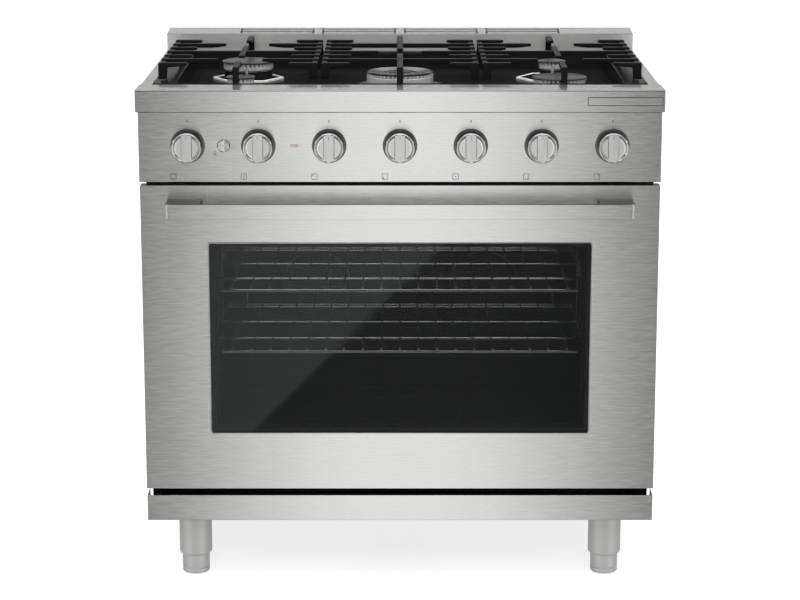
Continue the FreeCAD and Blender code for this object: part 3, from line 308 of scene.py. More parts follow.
STEEL = (0.62, 0.62, 0.605)
BRIGHT = (0.76, 0.76, 0.75)
FINISHES = {
    "brushed_stainless": surface(
        "brushed_stainless", STEEL, 0.2, (0.2, 0.25), (40, 500, 500), bump=0.0006 * MM, wear=0.03,
        tangent="X", detail=2, metallic=1, anisotropic=0.9),
    "soft_stainless": surface(
        "soft_stainless", BRIGHT, 0.08, (0.34, 0.38), (40, 500, 500), bump=0.0001 * MM, wear=0.02,
        tangent="X", detail=2, metallic=0.8, anisotropic=0.6),
    "side_stainless": surface(
        "side_stainless", STEEL, 0.1, (0.26, 0.32), (620, 14, 620), bump=0.003 * MM,
        tangent="Y", detail=3, metallic=1, anisotropic=0.7),
    "upright_stainless": surface(
        "upright_stainless", BRIGHT, 0.03, (0.2, 0.24), (900, 900, 90), bump=0.0002 * MM,
        tangent="Z", metallic=1, anisotropic=0.5),
    "polished_stainless": surface(
        "polished_stainless", BRIGHT, 0.03, (0.07, 0.12), (220, 220, 220), metallic=1),
    "spun_metal": surface(
        "spun_metal", BRIGHT, 0.05, (0.18, 0.26), (300, 300, 300), tangent="Y", metallic=1,
        anisotropic=0.85, anisotropic_rotation=0.25),
    # Dark steel for the oven fans and the knob pointers; the same finish also paints shade on the knob
    # skirts, bezels, lines beside the grips, the handle's top and brackets, and a dark reflection under the
    # trim's fold.
    "dark_steel_and_shade": surface(
        "dark_steel_and_shade", (0.16, 0.16, 0.158), 0.1, (0.22, 0.3), (14, 620, 620), bump=0.002 * MM, metallic=1),
    "satin_steel": surface(
        "satin_steel", (0.57, 0.57, 0.56), 0.05, (0.42, 0.5), (60, 60, 900), bump=0.005 * MM,
        tangent="Z", metallic=0.7, anisotropic=0.4, anisotropic_rotation=0.25),
    "black_enamel": surface(
        "black_enamel", (0.013, 0.013, 0.0135), 0.3, (0.1, 0.15), (60, 60, 60), bump=0.01 * MM, wear=0.02,
        specular_ior_level=0.01),
    "oven_enamel": surface(
        "oven_enamel", (0.035, 0.037, 0.036), 0.5, (0.3, 0.42), (900, 900, 900), bump=0.03 * MM),
    "cap_enamel": surface(
        "cap_enamel", (0.03, 0.03, 0.031), 0.25, (0.34, 0.44), (700, 700, 700), bump=0.04 * MM),
    "ring_enamel": surface(
        "ring_enamel", (0.02, 0.02, 0.021), 0.25, (0.16, 0.22), (700, 700, 700), bump=0.01 * MM),
    "cast_iron": surface(
        "cast_iron", (0.006, 0.006, 0.0062), 0.35, (0.36, 0.5), (420, 420, 420), bump=0.06 * MM,
        specular_ior_level=0.15),
    "cast_aluminium": surface(
        "cast_aluminium", (0.88, 0.88, 0.87), 0.08, (0.24, 0.34), (90, 90, 700), bump=0.02 * MM,
        metallic=0.5),
    # A pale finish that paints highlights on the black enamel ridges round the bosses.
    "painted_ridge_highlight": surface(
        "painted_ridge_highlight", (0.9, 0.9, 0.89), 0.05, (0.3, 0.4), (90, 90, 90), bump=0.01 * MM, metallic=0.15),
    "tinted_glass": surface(
        "tinted_glass", (0.007, 0.0082, 0.0076), 0.1, (0, 0.01), (40, 40, 40), wear=0.005, alpha=0.4,
        specular_ior_level=0.08),
    "clear_glass": surface(
        "clear_glass", (0.02, 0.022, 0.021), 0.1, (0, 0.01), (40, 40, 40), wear=0.005, alpha=0.08,
        specular_ior_level=0.15),
    "lamp_glass": surface(
        "lamp_glass", (0.8, 0.8, 0.76), 0.05, (0.25, 0.4), (200, 200, 200), alpha=0.6),
    "galvanised_steel": surface(
        "galvanised_steel", (0.46, 0.47, 0.48), 0.16, (0.35, 0.5), (60, 60, 60), bump=0.02 * MM,
        metallic=1, detail=2),
    "seal_rubber": surface(
        "seal_rubber", (0.03, 0.03, 0.03), 0.2, (0.55, 0.7), (600, 600, 600), bump=0.1 * MM),
    "mineral_wool": surface(
        "mineral_wool", (0.6, 0.57, 0.46), 0.3, (0.85, 0.95), (500, 500, 200), bump=0.6 * MM),
    "valve_brass": surface(
        "valve_brass", (0.68, 0.5, 0.24), 0.1, (0.2, 0.34), (200, 200, 200), metallic=1),
    "white_ceramic": surface(
        "white_ceramic", (0.42, 0.41, 0.39), 0.06, (0.2, 0.3), (300, 300, 300)),
    # Black plastic for the power inlet; the same finish also paints the shade inside the backguard's vents.
    "black_plastic": surface(
        "black_plastic", (0.02, 0.02, 0.02), 0.2, (0.4, 0.5), (700, 700, 700), bump=0.03 * MM),
    # Dark print on the panel; the same finish also paints the shadow line around the badge.
    "etched_mark_and_shade": surface(
        "etched_mark_and_shade", (0.04, 0.04, 0.04), 0.2, (0.5, 0.6), (900, 900, 900)),
    "red_lens": surface(
        "red_lens", (0.62, 0.04, 0.1), 0.1, (0.2, 0.3), (400, 400, 400),
        emission_color=(0.9, 0.1, 0.22, 1), emission_strength=0.3),
    "studio_floor": surface(
        "studio_floor", (0.5, 0.5, 0.5), 0.006, (0.6, 0.7), (9, 9, 9),
        emission_color=(1, 1, 1, 1), emission_strength=0.72),
}


# Worktop

def make_trim():
    low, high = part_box("front_trim")
    bm = bmesh.new()
    nose = 1.2 * MM
    section = rounded([(low.y, low.z, nose), (high.y, low.z), (high.y, high.z), (low.y, high.z, nose)])
    slab(bm, [section], low.x, high.x, "X", edge=0.8 * MM)
    piece("front_trim_finished", bm, "body", "brushed_stainless", "front_trim")
    # The dark strip just under the trim's top edge is a painted dark reflection along the fold.
    bm = bmesh.new()
    slab(bm, [rectangle(low.x + MM, high.z - 2 * MM, high.x - MM, high.z - 0.7 * MM)], low.y - 0.05 * MM,
         low.y + MM, "Y")
    piece("trim_fold_dark_reflection", bm, "body", "dark_steel_and_shade")


def make_badge():
    """Blank plate in a dark outline, which is a painted shadow line around its edge."""
    low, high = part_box("badge_plate")
    border = 1.1 * MM
    # The dark plate behind the blank shows as a painted shadow line around its edge.
    bm = bmesh.new()
    slab(bm, [rectangle(low.x, low.z, high.x, high.z, 0.8 * MM)], low.y + 0.4 * MM, high.y, "Y",
         edge=0.1 * MM)
    piece("badge_shadow_line", bm, "body", "etched_mark_and_shade")
    bm = bmesh.new()
    slab(bm, [rectangle(low.x + border, low.z + border, high.x - border, high.z - border, 0.5 * MM)],
         low.y, high.y, "Y", edge=0.2 * MM)
    piece("badge_blank", bm, "body", "brushed_stainless", "badge_plate")


# The tray's flanges around its well, and the levels of its floor and of the bosses on it
FLANGE_SIDE = 38.5 * MM
FLANGE_FRONT = 19 * MM
FLANGE_REAR = 25 * MM
TRAY_FLOOR = 857 * MM
BOSS_RADIUS = 67 * MM
BOSS_TOP = 861 * MM
FOLD = 5 * MM
BOSS_RIDGE = 4.5 * MM
# Radius of each single burner's cap
BURNERS = {"front_left": 26.5 * MM, "front_right": 49.3 * MM, "rear_left": 49.3 * MM, "rear_right": 26.5 * MM}


def make_tray():
    """Dished enamel tray with a lip at the front and a six-sided ridge around each single burner, whose pale
    finish is a painted highlight.
    """
    low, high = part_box("spill_tray")

    def row(grow, height, radius):
        """A rounded rectangle around the well, at a height."""
        loop = rectangle(low.x + FLANGE_SIDE - grow, low.y + FLANGE_FRONT - grow,
                         high.x - FLANGE_SIDE + grow, high.y - FLANGE_REAR + grow, radius, steps=6)
        return [Vector((p.x, p.y, height)) for p in loop]

    rim_loop = rectangle(low.x, low.y, high.x, high.y, 3 * MM, steps=6)
    rows = [[Vector((p.x, p.y, high.z)) for p in rim_loop], row(FOLD, high.z, 18 * MM)]
    turns = [math.pi / 8 * k for k in range(1, 5)]
    rows += [row(FOLD * (1 - math.sin(t)), high.z - FOLD * (1 - math.cos(t)), 14 * MM) for t in turns]
    fillet = 6 * MM
    rows += [row(-fillet * (1 - math.cos(t)) - MM, TRAY_FLOOR + fillet * (1 - math.sin(t)), 12 * MM)
             for t in [0] + turns]
    bm = bmesh.new()
    rows = [[bm.verts.new(p) for p in points] for points in rows]
    wrap(bm, rows)
    bm.faces.new(rows[-1])
    tray = piece("spill_tray_finished", bm, "body", "black_enamel", "spill_tray")
    well_floor = tray.data.polygons[len(tray.data.polygons) - 1]
    if well_floor.normal.z < 0:
        tray.data.flip_normals()
    thickness = tray.modifiers.new("thickness", "SOLIDIFY")
    thickness.thickness = 1.2 * MM
    thickness.offset = -1

    bm = bmesh.new()
    slab(bm, [rectangle(low.x, low.y + 0.05 * MM, high.x, low.y + 0.95 * MM)],
         high.z - 2 * MM, high.z + 1.8 * MM, edge=0.2 * MM, steps=1)
    piece("tray_lip", bm, "body", "black_enamel")

    bosses = bmesh.new()
    ridges = bmesh.new()
    for name in BURNERS:
        centre = middle(f"cap_{name}")
        outline = ring(centre.x, centre.y, BOSS_RADIUS, 6)
        inner = moved_left(outline, BOSS_RIDGE)
        slab(bosses, [inner], TRAY_FLOOR - MM, BOSS_TOP - 0.8 * MM, edge=0.3 * MM, steps=1)
        slab(ridges, [outline, inner[::-1]], TRAY_FLOOR - MM, BOSS_TOP, edge=1.3 * MM, low_edge=0)
    piece("tray_bosses", bosses, "body", "black_enamel", sharp=15)
    # The ridges' pale finish is a painted highlight on black enamel.
    piece("tray_ridges", ridges, "body", "painted_ridge_highlight", sharp=50)


VENT_GROUPS = 4
VENT_BLADES = 3
VENT_LENGTH = 143.5 * MM
VENT_WEB = 16 * MM
VENT_GAP = 8 * MM
GUARD_FALL = 5.2 * MM


def make_backguard():
    """Folded upstand whose sloping top has four windows with louvre blades, over black sheets that paint the
    shade inside.
    """
    low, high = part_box("backguard")
    front = high.z - GUARD_FALL
    slope = (high.z - front) / (high.y - low.y)
    border = 4 * MM
    step = VENT_LENGTH + VENT_WEB
    starts = [step * (group - VENT_GROUPS / 2) + VENT_WEB / 2 for group in range(VENT_GROUPS)]
    windows = [rectangle(x, low.y + border, x + VENT_LENGTH, high.y - border, 0.6 * MM, steps=2)
               for x in starts]

    def lean(bm):
        """Raises everything above the foot towards the rear."""
        for vert in bm.verts:
            if vert.co.z > low.z + MM:
                vert.co.z += slope * (vert.co.y - low.y)

    outline = rectangle(low.x, low.y, high.x, high.y, 0.8 * MM, steps=2)
    inside = rectangle(low.x + SHEET, low.y + SHEET, high.x - SHEET, high.y - SHEET)
    bm = bmesh.new()
    slab(bm, [outline] + windows, front - SHEET, front, edge=0.5 * MM, low_edge=0)
    lean(bm)
    wall = bmesh.new()
    slab(wall, [outline, inside], low.z, front - SHEET, low_edge=0)
    lean(wall)
    piece("backguard_top", bm, "body", "brushed_stainless")
    piece("backguard_walls", wall, "body", "soft_stainless", "backguard")

    pitch = (high.y - low.y - 2 * border) / VENT_BLADES
    blades = bmesh.new()
    # Black sheets under each vent window are painted shade inside the backguard.
    shade_sheets = bmesh.new()
    for x in starts:
        far_x = x + VENT_LENGTH
        slab(shade_sheets, [rectangle(x - MM, low.y + border - MM, far_x + MM, high.y - border + MM)],
             front - 8 * MM, front - 7 * MM)
        for number in range(VENT_BLADES):
            near = low.y + border + pitch * number + VENT_GAP / 2
            slab(blades, [rectangle(x + 3 * MM, near, far_x - 3 * MM, near + pitch - VENT_GAP)],
                 front - 0.9 * MM, front - 0.3 * MM)
    lean(blades)
    lean(shade_sheets)
    piece("backguard_louvres", blades, "body", "brushed_stainless")
    piece("backguard_vent_shade", shade_sheets, "body", "black_plastic")


# Burners

HEAD_LOW = 874 * MM
HEAD_TOP = 889 * MM
WIDE_BURNER = 40 * MM
WIDE_PORTS = 36
NARROW_PORTS = 20
TOOTH_SHARE = 0.66  # of each step around the crown; the rest is the gas port


def teeth(bm, centre, outer, inner, low, high, count):
    """Adds a crown of teeth, with gas ports between them."""
    share = math.tau / count
    for number in range(count):
        start = number * share
        sweep = [start + share * TOOTH_SHARE * k / 3 for k in range(4)]
        loop = [Vector((centre.x + outer * math.cos(t), centre.y + outer * math.sin(t))) for t in sweep]
        loop += [Vector((centre.x + inner * math.cos(t), centre.y + inner * math.sin(t)))
                 for t in reversed(sweep)]
        slab(bm, [loop], low, high, edge=0.25 * MM, steps=1)


def make_burner(name, radius):
    """Enamelled base, cast head with a crown of ports, and the lid that lies on it."""
    cap = middle(f"cap_{name}")
    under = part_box(f"cap_{name}")[0].z
    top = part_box(f"cap_{name}")[1].z
    shoulder = HEAD_TOP - 5 * MM
    centre = Vector((cap.x, cap.y, 0))
    bm = bmesh.new()
    lathe(bm, rounded([(0, BOSS_TOP - MM), (radius - 3 * MM, BOSS_TOP - MM, MM),
                       (radius - 6 * MM, HEAD_LOW, MM), (0, HEAD_LOW)], closed=False), centre, UP)
    piece(f"burner_base_{name}", bm, "body", "black_enamel")
    bm = bmesh.new()
    skirt = radius - 2.5 * MM
    lathe(bm, rounded([(0, HEAD_LOW), (skirt - 4 * MM, HEAD_LOW, MM), (skirt, HEAD_LOW + 4 * MM, 2 * MM),
                       (skirt, shoulder, 0.6 * MM), (skirt - 8 * MM, shoulder), (0, shoulder)],
                      closed=False), centre, UP)
    ports = WIDE_PORTS if radius > WIDE_BURNER else NARROW_PORTS
    teeth(bm, centre, skirt, skirt - 7 * MM, HEAD_TOP - 5.4 * MM, HEAD_TOP, ports)
    piece(f"burner_head_{name}", bm, "body", "cast_aluminium")
    bm = bmesh.new()
    lip = top - 3.7 * MM
    lathe(bm, rounded([(0, under), (radius - 11 * MM, under, 0.5 * MM), (radius - 11 * MM, lip),
                       (radius, lip, 0.8 * MM), (radius, top - 1.4 * MM, 1.4 * MM),
                       (radius - 6 * MM, top - 0.2 * MM, 4 * MM), (0, top)], closed=False),
          centre, UP, 64)
    piece(f"cap_{name}_finished", bm, f"cap_{name}", "cap_enamel", f"cap_{name}")


def make_middle_burner():
    """Double ring burner: an outer ring of flame around a small core."""
    ring_low, ring_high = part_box("cap_ring")
    core_low, core_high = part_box("cap_core")
    centre = Vector((middle("cap_ring").x, middle("cap_ring").y, 0))
    outer = ring_high.x
    disc = 81 * MM
    bm = bmesh.new()
    lathe(bm, rounded([(0, TRAY_FLOOR - MM), (disc, TRAY_FLOOR - MM), (disc, BOSS_TOP, 1.5 * MM),
                       (70 * MM, BOSS_TOP + 1.2 * MM, 4 * MM), (0, BOSS_TOP + 1.2 * MM)], closed=False),
          centre, UP, 96)
    piece("burner_disc", bm, "body", "cap_enamel")
    bm = bmesh.new()
    low = BOSS_TOP
    top = ring_low.z - 0.4 * MM
    lathe(bm, rounded([(34 * MM, low), (outer - 3 * MM, low), (outer + 1 * MM, low + 4 * MM, 3 * MM),
                       (outer + 1 * MM, top - 4.5 * MM, 1 * MM), (outer - 7 * MM, top - 4.5 * MM),
                       (outer - 7 * MM, top - 3 * MM), (38 * MM, top - 3 * MM),
                       (36 * MM, low + 6 * MM, 3 * MM)]),
          centre, UP, 96)
    teeth(bm, centre, outer + 0.6 * MM, outer - 8 * MM, top - 5 * MM, top, 48)
    teeth(bm, centre, 41 * MM, 35 * MM, top - 3.4 * MM, top, 28)
    piece("burner_head_ring", bm, "body", "cast_aluminium")
    bm = bmesh.new()
    core = core_high.x
    lathe(bm, rounded([(0, low), (core + 3 * MM, low), (core + 3 * MM, low + 7 * MM, 2 * MM),
                       (core - 1 * MM, top - 4.5 * MM, 1 * MM), (0, top - 4.5 * MM)], closed=False),
          centre, UP)
    teeth(bm, centre, core - 1 * MM, core - 7 * MM, top - 5 * MM, core_low.z + 1.3 * MM, 16)
    piece("burner_head_core", bm, "body", "cast_aluminium", "burner_heads", "burner_bases")
    bm = bmesh.new()
    inner = 31.5 * MM
    dished = ring_high.z - 2.6 * MM
    lathe(bm, rounded([(inner, ring_low.z, 0.3 * MM), (outer, ring_low.z, 0.6 * MM),
                       (outer, ring_high.z - MM, 1.2 * MM), (outer - 3 * MM, ring_high.z, 2 * MM),
                       (inner + 2 * MM, dished, 2 * MM), (inner, dished - 0.4 * MM, 0.3 * MM)]),
          centre, UP, 96)
    piece("cap_ring_finished", bm, "cap_ring", "ring_enamel", "cap_ring")
    bm = bmesh.new()
    under = core_low.z + 1.4 * MM
    lathe(bm, rounded([(0, under), (core, under, 0.5 * MM), (core, core_high.z - MM, 0.8 * MM),
                       (core - 4 * MM, core_high.z - 0.2 * MM, 2 * MM), (0, core_high.z)], closed=False),
          centre, UP, 64)
    piece("cap_core_finished", bm, "cap_core", "cap_enamel", "cap_core")


# Grates: rows of fingers, their tapered tips, the rails under them and their legs
ROW_PITCH = 58 * MM
BAR_HALF = 5.5 * MM
BAR_HEIGHT = 8 * MM
TIP_HEIGHT = 5 * MM
TIP_RADIUS = 2.2 * MM
TAPER = 26 * MM
TAPER_RADIUS = 12 * MM
CAST_EDGE = 1.6 * MM
RAIL_WIDTH = 10 * MM
RAIL_HEIGHT = 9 * MM
RAIL_DROP = 3 * MM
LEG_WIDTH = 16 * MM
SHORT_REACH = 51 * MM
LONG_REACH = 101 * MM


def finger(bm, root, tip, across, top, axis, foot=None, leg=LEG_WIDTH):
    """Adds a bar from its root to a tapered tip, with a leg under the root if foot is given."""
    out = 1 if tip > root else -1
    bottom = top - BAR_HEIGHT
    outline = [(tip, top, TIP_RADIUS), (tip, top - TIP_HEIGHT, TIP_RADIUS),
               (tip - out * TAPER, bottom, TAPER_RADIUS)]
    if foot is None:
        outline += [(root, bottom, 1.5 * MM), (root, top, 2.5 * MM)]
    else:
        outline += [(root + out * leg, bottom, 5 * MM), (root + out * (leg - MM), foot, 1.2 * MM),
                    (root, foot, 1.2 * MM), (root, top, 2.5 * MM)]
    slab(bm, [rounded(outline)], across - BAR_HALF, across + BAR_HALF, axis, edge=CAST_EDGE)


def link(bm, start, end, across, top, axis):
    """Adds a bar with two tapered tips."""
    bottom = top - BAR_HEIGHT
    outline = [(start, top, TIP_RADIUS), (start, top - TIP_HEIGHT, TIP_RADIUS),
               (start + TAPER, bottom, TAPER_RADIUS), (end - TAPER, bottom, TAPER_RADIUS),
               (end, top - TIP_HEIGHT, TIP_RADIUS), (end, top, TIP_RADIUS)]
    slab(bm, [rounded(outline)], across - BAR_HALF, across + BAR_HALF, axis, edge=CAST_EDGE)


def make_grate(node, full_rows, long_rows, gaps):
    """Cast grate: seven rows of fingers on two rails, and a spine with a gap over each burner.

    Rows are counted from the middle one. full_rows run from rail to rail, long_rows have longer
    fingers, and gaps are the millimetres from the middle row at which the spine breaks off and
    starts again.
    """
    low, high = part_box(node)
    top = high.z
    middle_row = middle("cap_ring").y
    rear = middle_row + 3 * ROW_PITCH
    front = middle_row - 3 * ROW_PITCH
    bm = bmesh.new()
    for number in range(-3, 4):
        y = middle_row + ROW_PITCH * number
        foot = low.z if abs(number) == 3 else None
        if number in full_rows:
            slab(bm, [rectangle(low.x, top - BAR_HEIGHT, high.x, top, 2 * MM)], y - BAR_HALF, y + BAR_HALF,
                 "Y", edge=CAST_EDGE)
            continue
        reach = LONG_REACH if number in long_rows else SHORT_REACH
        finger(bm, low.x, low.x + reach, y, top, "Y", foot)
        finger(bm, high.x, high.x - reach, y, top, "Y", foot)
    for x in (low.x, high.x - RAIL_WIDTH):
        slab(bm, [rectangle(x, front - BAR_HALF + MM, x + RAIL_WIDTH, rear + BAR_HALF - MM, 2 * MM)],
             top - RAIL_DROP - RAIL_HEIGHT, top - RAIL_DROP, edge=CAST_EDGE)
    x = (low.x + high.x) / 2
    starts = [middle_row + edge * MM for edge in gaps]
    finger(bm, low.y, starts[0], x, top, "X", low.z, 2 * BAR_HALF)
    for start, end in zip(starts[1::2], starts[2::2]):
        link(bm, start, end, x, top, "X")
    finger(bm, high.y, starts[-1], x, top, "X", low.z, 2 * BAR_HALF)
    piece(f"{node}_finished", bm, node, "cast_iron", node)


def make_grates():
    side_gaps = (-152, -73, 82, 163)
    make_grate("left_grate", (0,), (-2, 2), side_gaps)
    make_grate("centre_grate", (-2, 2), (0,), (-38, 38))
    make_grate("right_grate", (0,), (-2, 2), side_gaps)


# Control panel

KNOBS = range(1, 8)
MARK = 0.06 * MM


def make_marks():
    """Dark ticks above the knobs and small outlines that show which burner each one feeds."""
    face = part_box("control_panel")[0].y
    bm = bmesh.new()
    line = 0.8 * MM
    half = 5.2 * MM

    def mark(*loops):
        slab(bm, list(loops), face - MARK, face + MARK, "Y")

    dots = {3: (-0.5, 0.5), 4: (-0.5, -0.5), 5: (0, 0), 6: (0.5, -0.5), 7: (0.5, 0.5)}
    for number in KNOBS:
        knob = middle(f"knob_{number}")
        mark(rectangle(knob.x - 0.7 * MM, knob.z + 40 * MM, knob.x + 0.7 * MM, knob.z + 45 * MM))
        x = knob.x - 26 * MM
        z = knob.z - 54 * MM
        mark(rectangle(x - half, z - half, x + half, z + half, MM),
             rectangle(x - half + line, z - half + line, x + half - line, z + half - line, 0.5 * MM))
        if number in dots:
            dot = dots[number]
            mark(ring(x + dot[0] * half, z + dot[1] * half, 1.1 * MM, 16))
        elif number == 1:
            mark(rectangle(x - 3 * MM, z - 3 * MM, x + 3 * MM, z - 2.3 * MM))
        else:
            mark(rectangle(x - 0.5 * MM, z - 3 * MM, x + 0.5 * MM, z + 3 * MM, 0.4 * MM))
    button = middle("light_button")
    x = button.x - 15.3 * MM
    z = button.z - 12 * MM
    mark(ring(x, z, 2.4 * MM, 20), ring(x, z, 1.8 * MM, 20))
    mark(rectangle(x - 1.1 * MM, z - 4.2 * MM, x + 1.1 * MM, z - 2.6 * MM, 0.3 * MM))
    piece("panel_marks", bm, "body", "etched_mark_and_shade")


def make_bezels():
    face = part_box("control_panel")[0].y
    for number in KNOBS:
        knob = middle(f"knob_{number}")
        bm = bmesh.new()
        bore = 22 * MM
        outer = 29.8 * MM
        height = 3 * MM
        lathe(bm, rounded([(bore, 0), (outer, 0), (outer, height, 1.4 * MM), (bore, height, 0.4 * MM)]),
              (knob.x, face, knob.z), FORWARD, 64)
        # The bezels' dark finish is painted shade around the knobs.
        piece(f"bezel_{number}", bm, "body", "dark_steel_and_shade", *(["knob_bezels"] if number == 1 else []))


def make_knob(number):
    """Shallow dish with a flat grip across it, a polished rim and a dark band behind it; the dark band and
    the dark lines beside the grip are painted shade.
    """
    node = f"knob_{number}"
    low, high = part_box(node)
    centre = Vector((middle(node).x, high.y, middle(node).z))
    length = high.y - low.y
    radius = (high.x - low.x) / 2
    dish = length - 4.2 * MM
    mouth = radius - 2.2 * MM
    bore = 4.1 * MM
    band = length - 7 * MM
    bm = bmesh.new()
    lathe(bm, rounded([(bore, 0), (radius - 2.5 * MM, 0, MM), (radius - 0.9 * MM, band, 0.5 * MM),
                       (radius - 0.9 * MM, band + MM), (bore, band + MM)]), centre, FORWARD, 64)
    # The skirt's dark finish is painted shade behind the rim.
    piece(f"{node}_skirt", bm, node, "dark_steel_and_shade")
    bm = bmesh.new()
    lathe(bm, rounded([(mouth - 5 * MM, band), (radius - 0.5 * MM, band, 0.4 * MM),
                       (radius, band + 1.2 * MM, 0.8 * MM), (radius, length - 1.8 * MM, 0.8 * MM),
                       (radius - 1.2 * MM, length, 1.4 * MM), (mouth, length - 0.5 * MM, 0.7 * MM),
                       (mouth - 3.4 * MM, dish, 3 * MM), (mouth - 5 * MM, dish)]), centre, FORWARD, 96)
    piece(f"{node}_rim", bm, node, "polished_stainless")
    bm = bmesh.new()
    lathe(bm, rounded([(bore, band), (mouth - 4.9 * MM, band), (mouth - 4.9 * MM, dish + 0.05 * MM),
                       (bore, dish + 0.05 * MM)]), centre, FORWARD, 96)
    piece(f"{node}_floor", bm, node, "upright_stainless")
    half = 8.65 * MM
    reach = mouth - 0.1 * MM
    arc = math.asin(half / reach)
    turns = [arc * (k / 3 - 1) for k in range(7)]
    loop = [Vector((reach * math.sin(t), reach * math.cos(t))) for t in turns]
    loop += [Vector((reach * math.sin(t), -reach * math.cos(t))) for t in reversed(turns)]
    loop = [Vector((centre.x + p.x, centre.z + p.y)) for p in loop]
    face = centre.y - length + 0.6 * MM
    bm = bmesh.new()
    slab(bm, [loop], face, centre.y - dish + MM, "Y", edge=0.1 * MM, low_edge=0.7 * MM)
    piece(f"{node}_grip", bm, node, "upright_stainless", node)
    # Thin dark strips along the grip's sides are painted shade in the crease.
    bm = bmesh.new()
    for side in SIDES:
        x = centre.x + side * (half + 0.35 * MM)
        slab(bm, [rectangle(x - 0.4 * MM, centre.z - 17 * MM, x + 0.4 * MM, centre.z + 17 * MM)],
             centre.y - dish - 0.15 * MM, centre.y - dish + MM, "Y")
    piece(f"{node}_grip_shade_lines", bm, node, "dark_steel_and_shade")
    bm = bmesh.new()
    line = 0.35 * MM
    slab(bm, [rectangle(centre.x - line, centre.z + 15 * MM, centre.x + line, centre.z + 21.5 * MM)],
         face - 0.05 * MM, face + 0.3 * MM, "Y")
    piece(f"{node}_pointer", bm, node, "dark_steel_and_shade")


def make_button_and_lens():
    """Round push button in a collar, and the small red lens in its frame."""
    low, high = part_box("light_button")
    centre = Vector((middle("light_button").x, high.y, middle("light_button").z))
    radius = (high.x - low.x) / 2
    length = high.y - low.y
    bm = bmesh.new()
    lathe(bm, rounded([(0, 0), (radius, 0), (radius, length - 0.4 * MM, 1.2 * MM),
                       (radius - 2 * MM, length, MM), (0, length - 0.8 * MM)], closed=False),
          centre, FORWARD, 64)
    piece("light_button_finished", bm, "light_button", "spun_metal", "light_button")
    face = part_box("control_panel")[0].y
    bm = bmesh.new()
    bore = radius + 0.5 * MM
    outer = radius + 1.6 * MM
    lathe(bm, rounded([(bore, 0), (outer, 0), (outer, 0.8 * MM, 0.6 * MM), (bore, 0.8 * MM, 0.3 * MM)]),
          (centre.x, face, centre.z), FORWARD, 64)
    piece("button_collar", bm, "body", "polished_stainless")
    low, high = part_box("indicator_lens")
    centre = (low + high) / 2
    bm = bmesh.new()
    slab(bm, [rectangle(low.x, low.z, high.x, high.z, 0.8 * MM)], low.y + 0.1 * MM, high.y, "Y",
         edge=0.1 * MM)
    piece("indicator_frame", bm, "body", "brushed_stainless")
    bm = bmesh.new()
    slab(bm, [rectangle(low.x + 0.6 * MM, centre.z - 0.8 * MM,
                        high.x - 0.6 * MM, centre.z + 0.8 * MM, 0.5 * MM)],
         low.y, high.y - MM, "Y", low_edge=0.3 * MM)
    piece("indicator_lens_finished", bm, "body", "red_lens", "indicator_lens")


# Door

def make_door():
    """Door frame with a window of rounded corners, its inner panel and the two panes."""
    glass_low, glass_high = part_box("door_glass")
    window = [(x, z) for x in (glass_low.x, glass_high.x) for z in (glass_low.z, glass_high.z)]
    refined("door_outer_frame", "brushed_stainless", 1.1 * MM, 3, window, 3.5 * MM)
    refined("door_inner_panel", "oven_enamel", 0.7 * MM)
    for node, finish in (("door_glass", "tinted_glass"), ("door_inner_glass", "clear_glass")):
        low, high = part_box(node)
        bm = bmesh.new()
        slab(bm, [rectangle(low.x, low.z, high.x, high.z, 2 * MM)], low.y, high.y, "Y", edge=0.6 * MM)
        piece(f"{node}_finished", bm, "door", finish, node)


def make_handle():
    """Bar with a brushed face over a core, a dark strip on its top, fitted end caps and two dark brackets;
    the dark strip and the brackets' dark finish are painted shade.
    """
    low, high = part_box("handle_bar")
    cap = 4 * MM
    face = 1.6 * MM
    inset = 0.15 * MM
    bm = bmesh.new()
    slab(bm, [rectangle(low.x + cap, low.z, high.x - cap, high.z)], low.y, low.y + face, "Y",
         edge=0.1 * MM, low_edge=0.7 * MM)
    piece("handle_face", bm, "door", "brushed_stainless", "handle_bar")
    bm = bmesh.new()
    slab(bm, [rectangle(low.y + face, low.z + inset, high.y, high.z - inset, 1.6 * MM)],
         low.x + cap, high.x - cap, "X", edge=0.3 * MM)
    piece("handle_core", bm, "door", "brushed_stainless")
    # A dark strip on the bar's top is painted shade.
    bm = bmesh.new()
    slab(bm, [rectangle(low.x + cap, low.y + face, high.x - cap, high.y - MM)],
         high.z - MM, high.z - 0.05 * MM)
    piece("handle_top", bm, "door", "dark_steel_and_shade")
    section = rectangle(low.y, low.z, high.y, high.z, 1.6 * MM)
    for side, name in zip(SIDES, ("left", "right")):
        end = low.x if side < 0 else high.x
        bm = bmesh.new()
        slab(bm, [section], min(end, end - side * cap), max(end, end - side * cap), "X", edge=0.9 * MM)
        piece(f"handle_end_{name}", bm, "door", "polished_stainless")
    # The brackets' dark finish is painted shade on their tops.
    refined("handle_brackets", "dark_steel_and_shade", 1.2 * MM, 3)


# Oven

OVEN_FLOOR = 245 * MM
RIB_RADII = (120 * MM, 200 * MM)
RIB_CENTRE_Y = -20 * MM


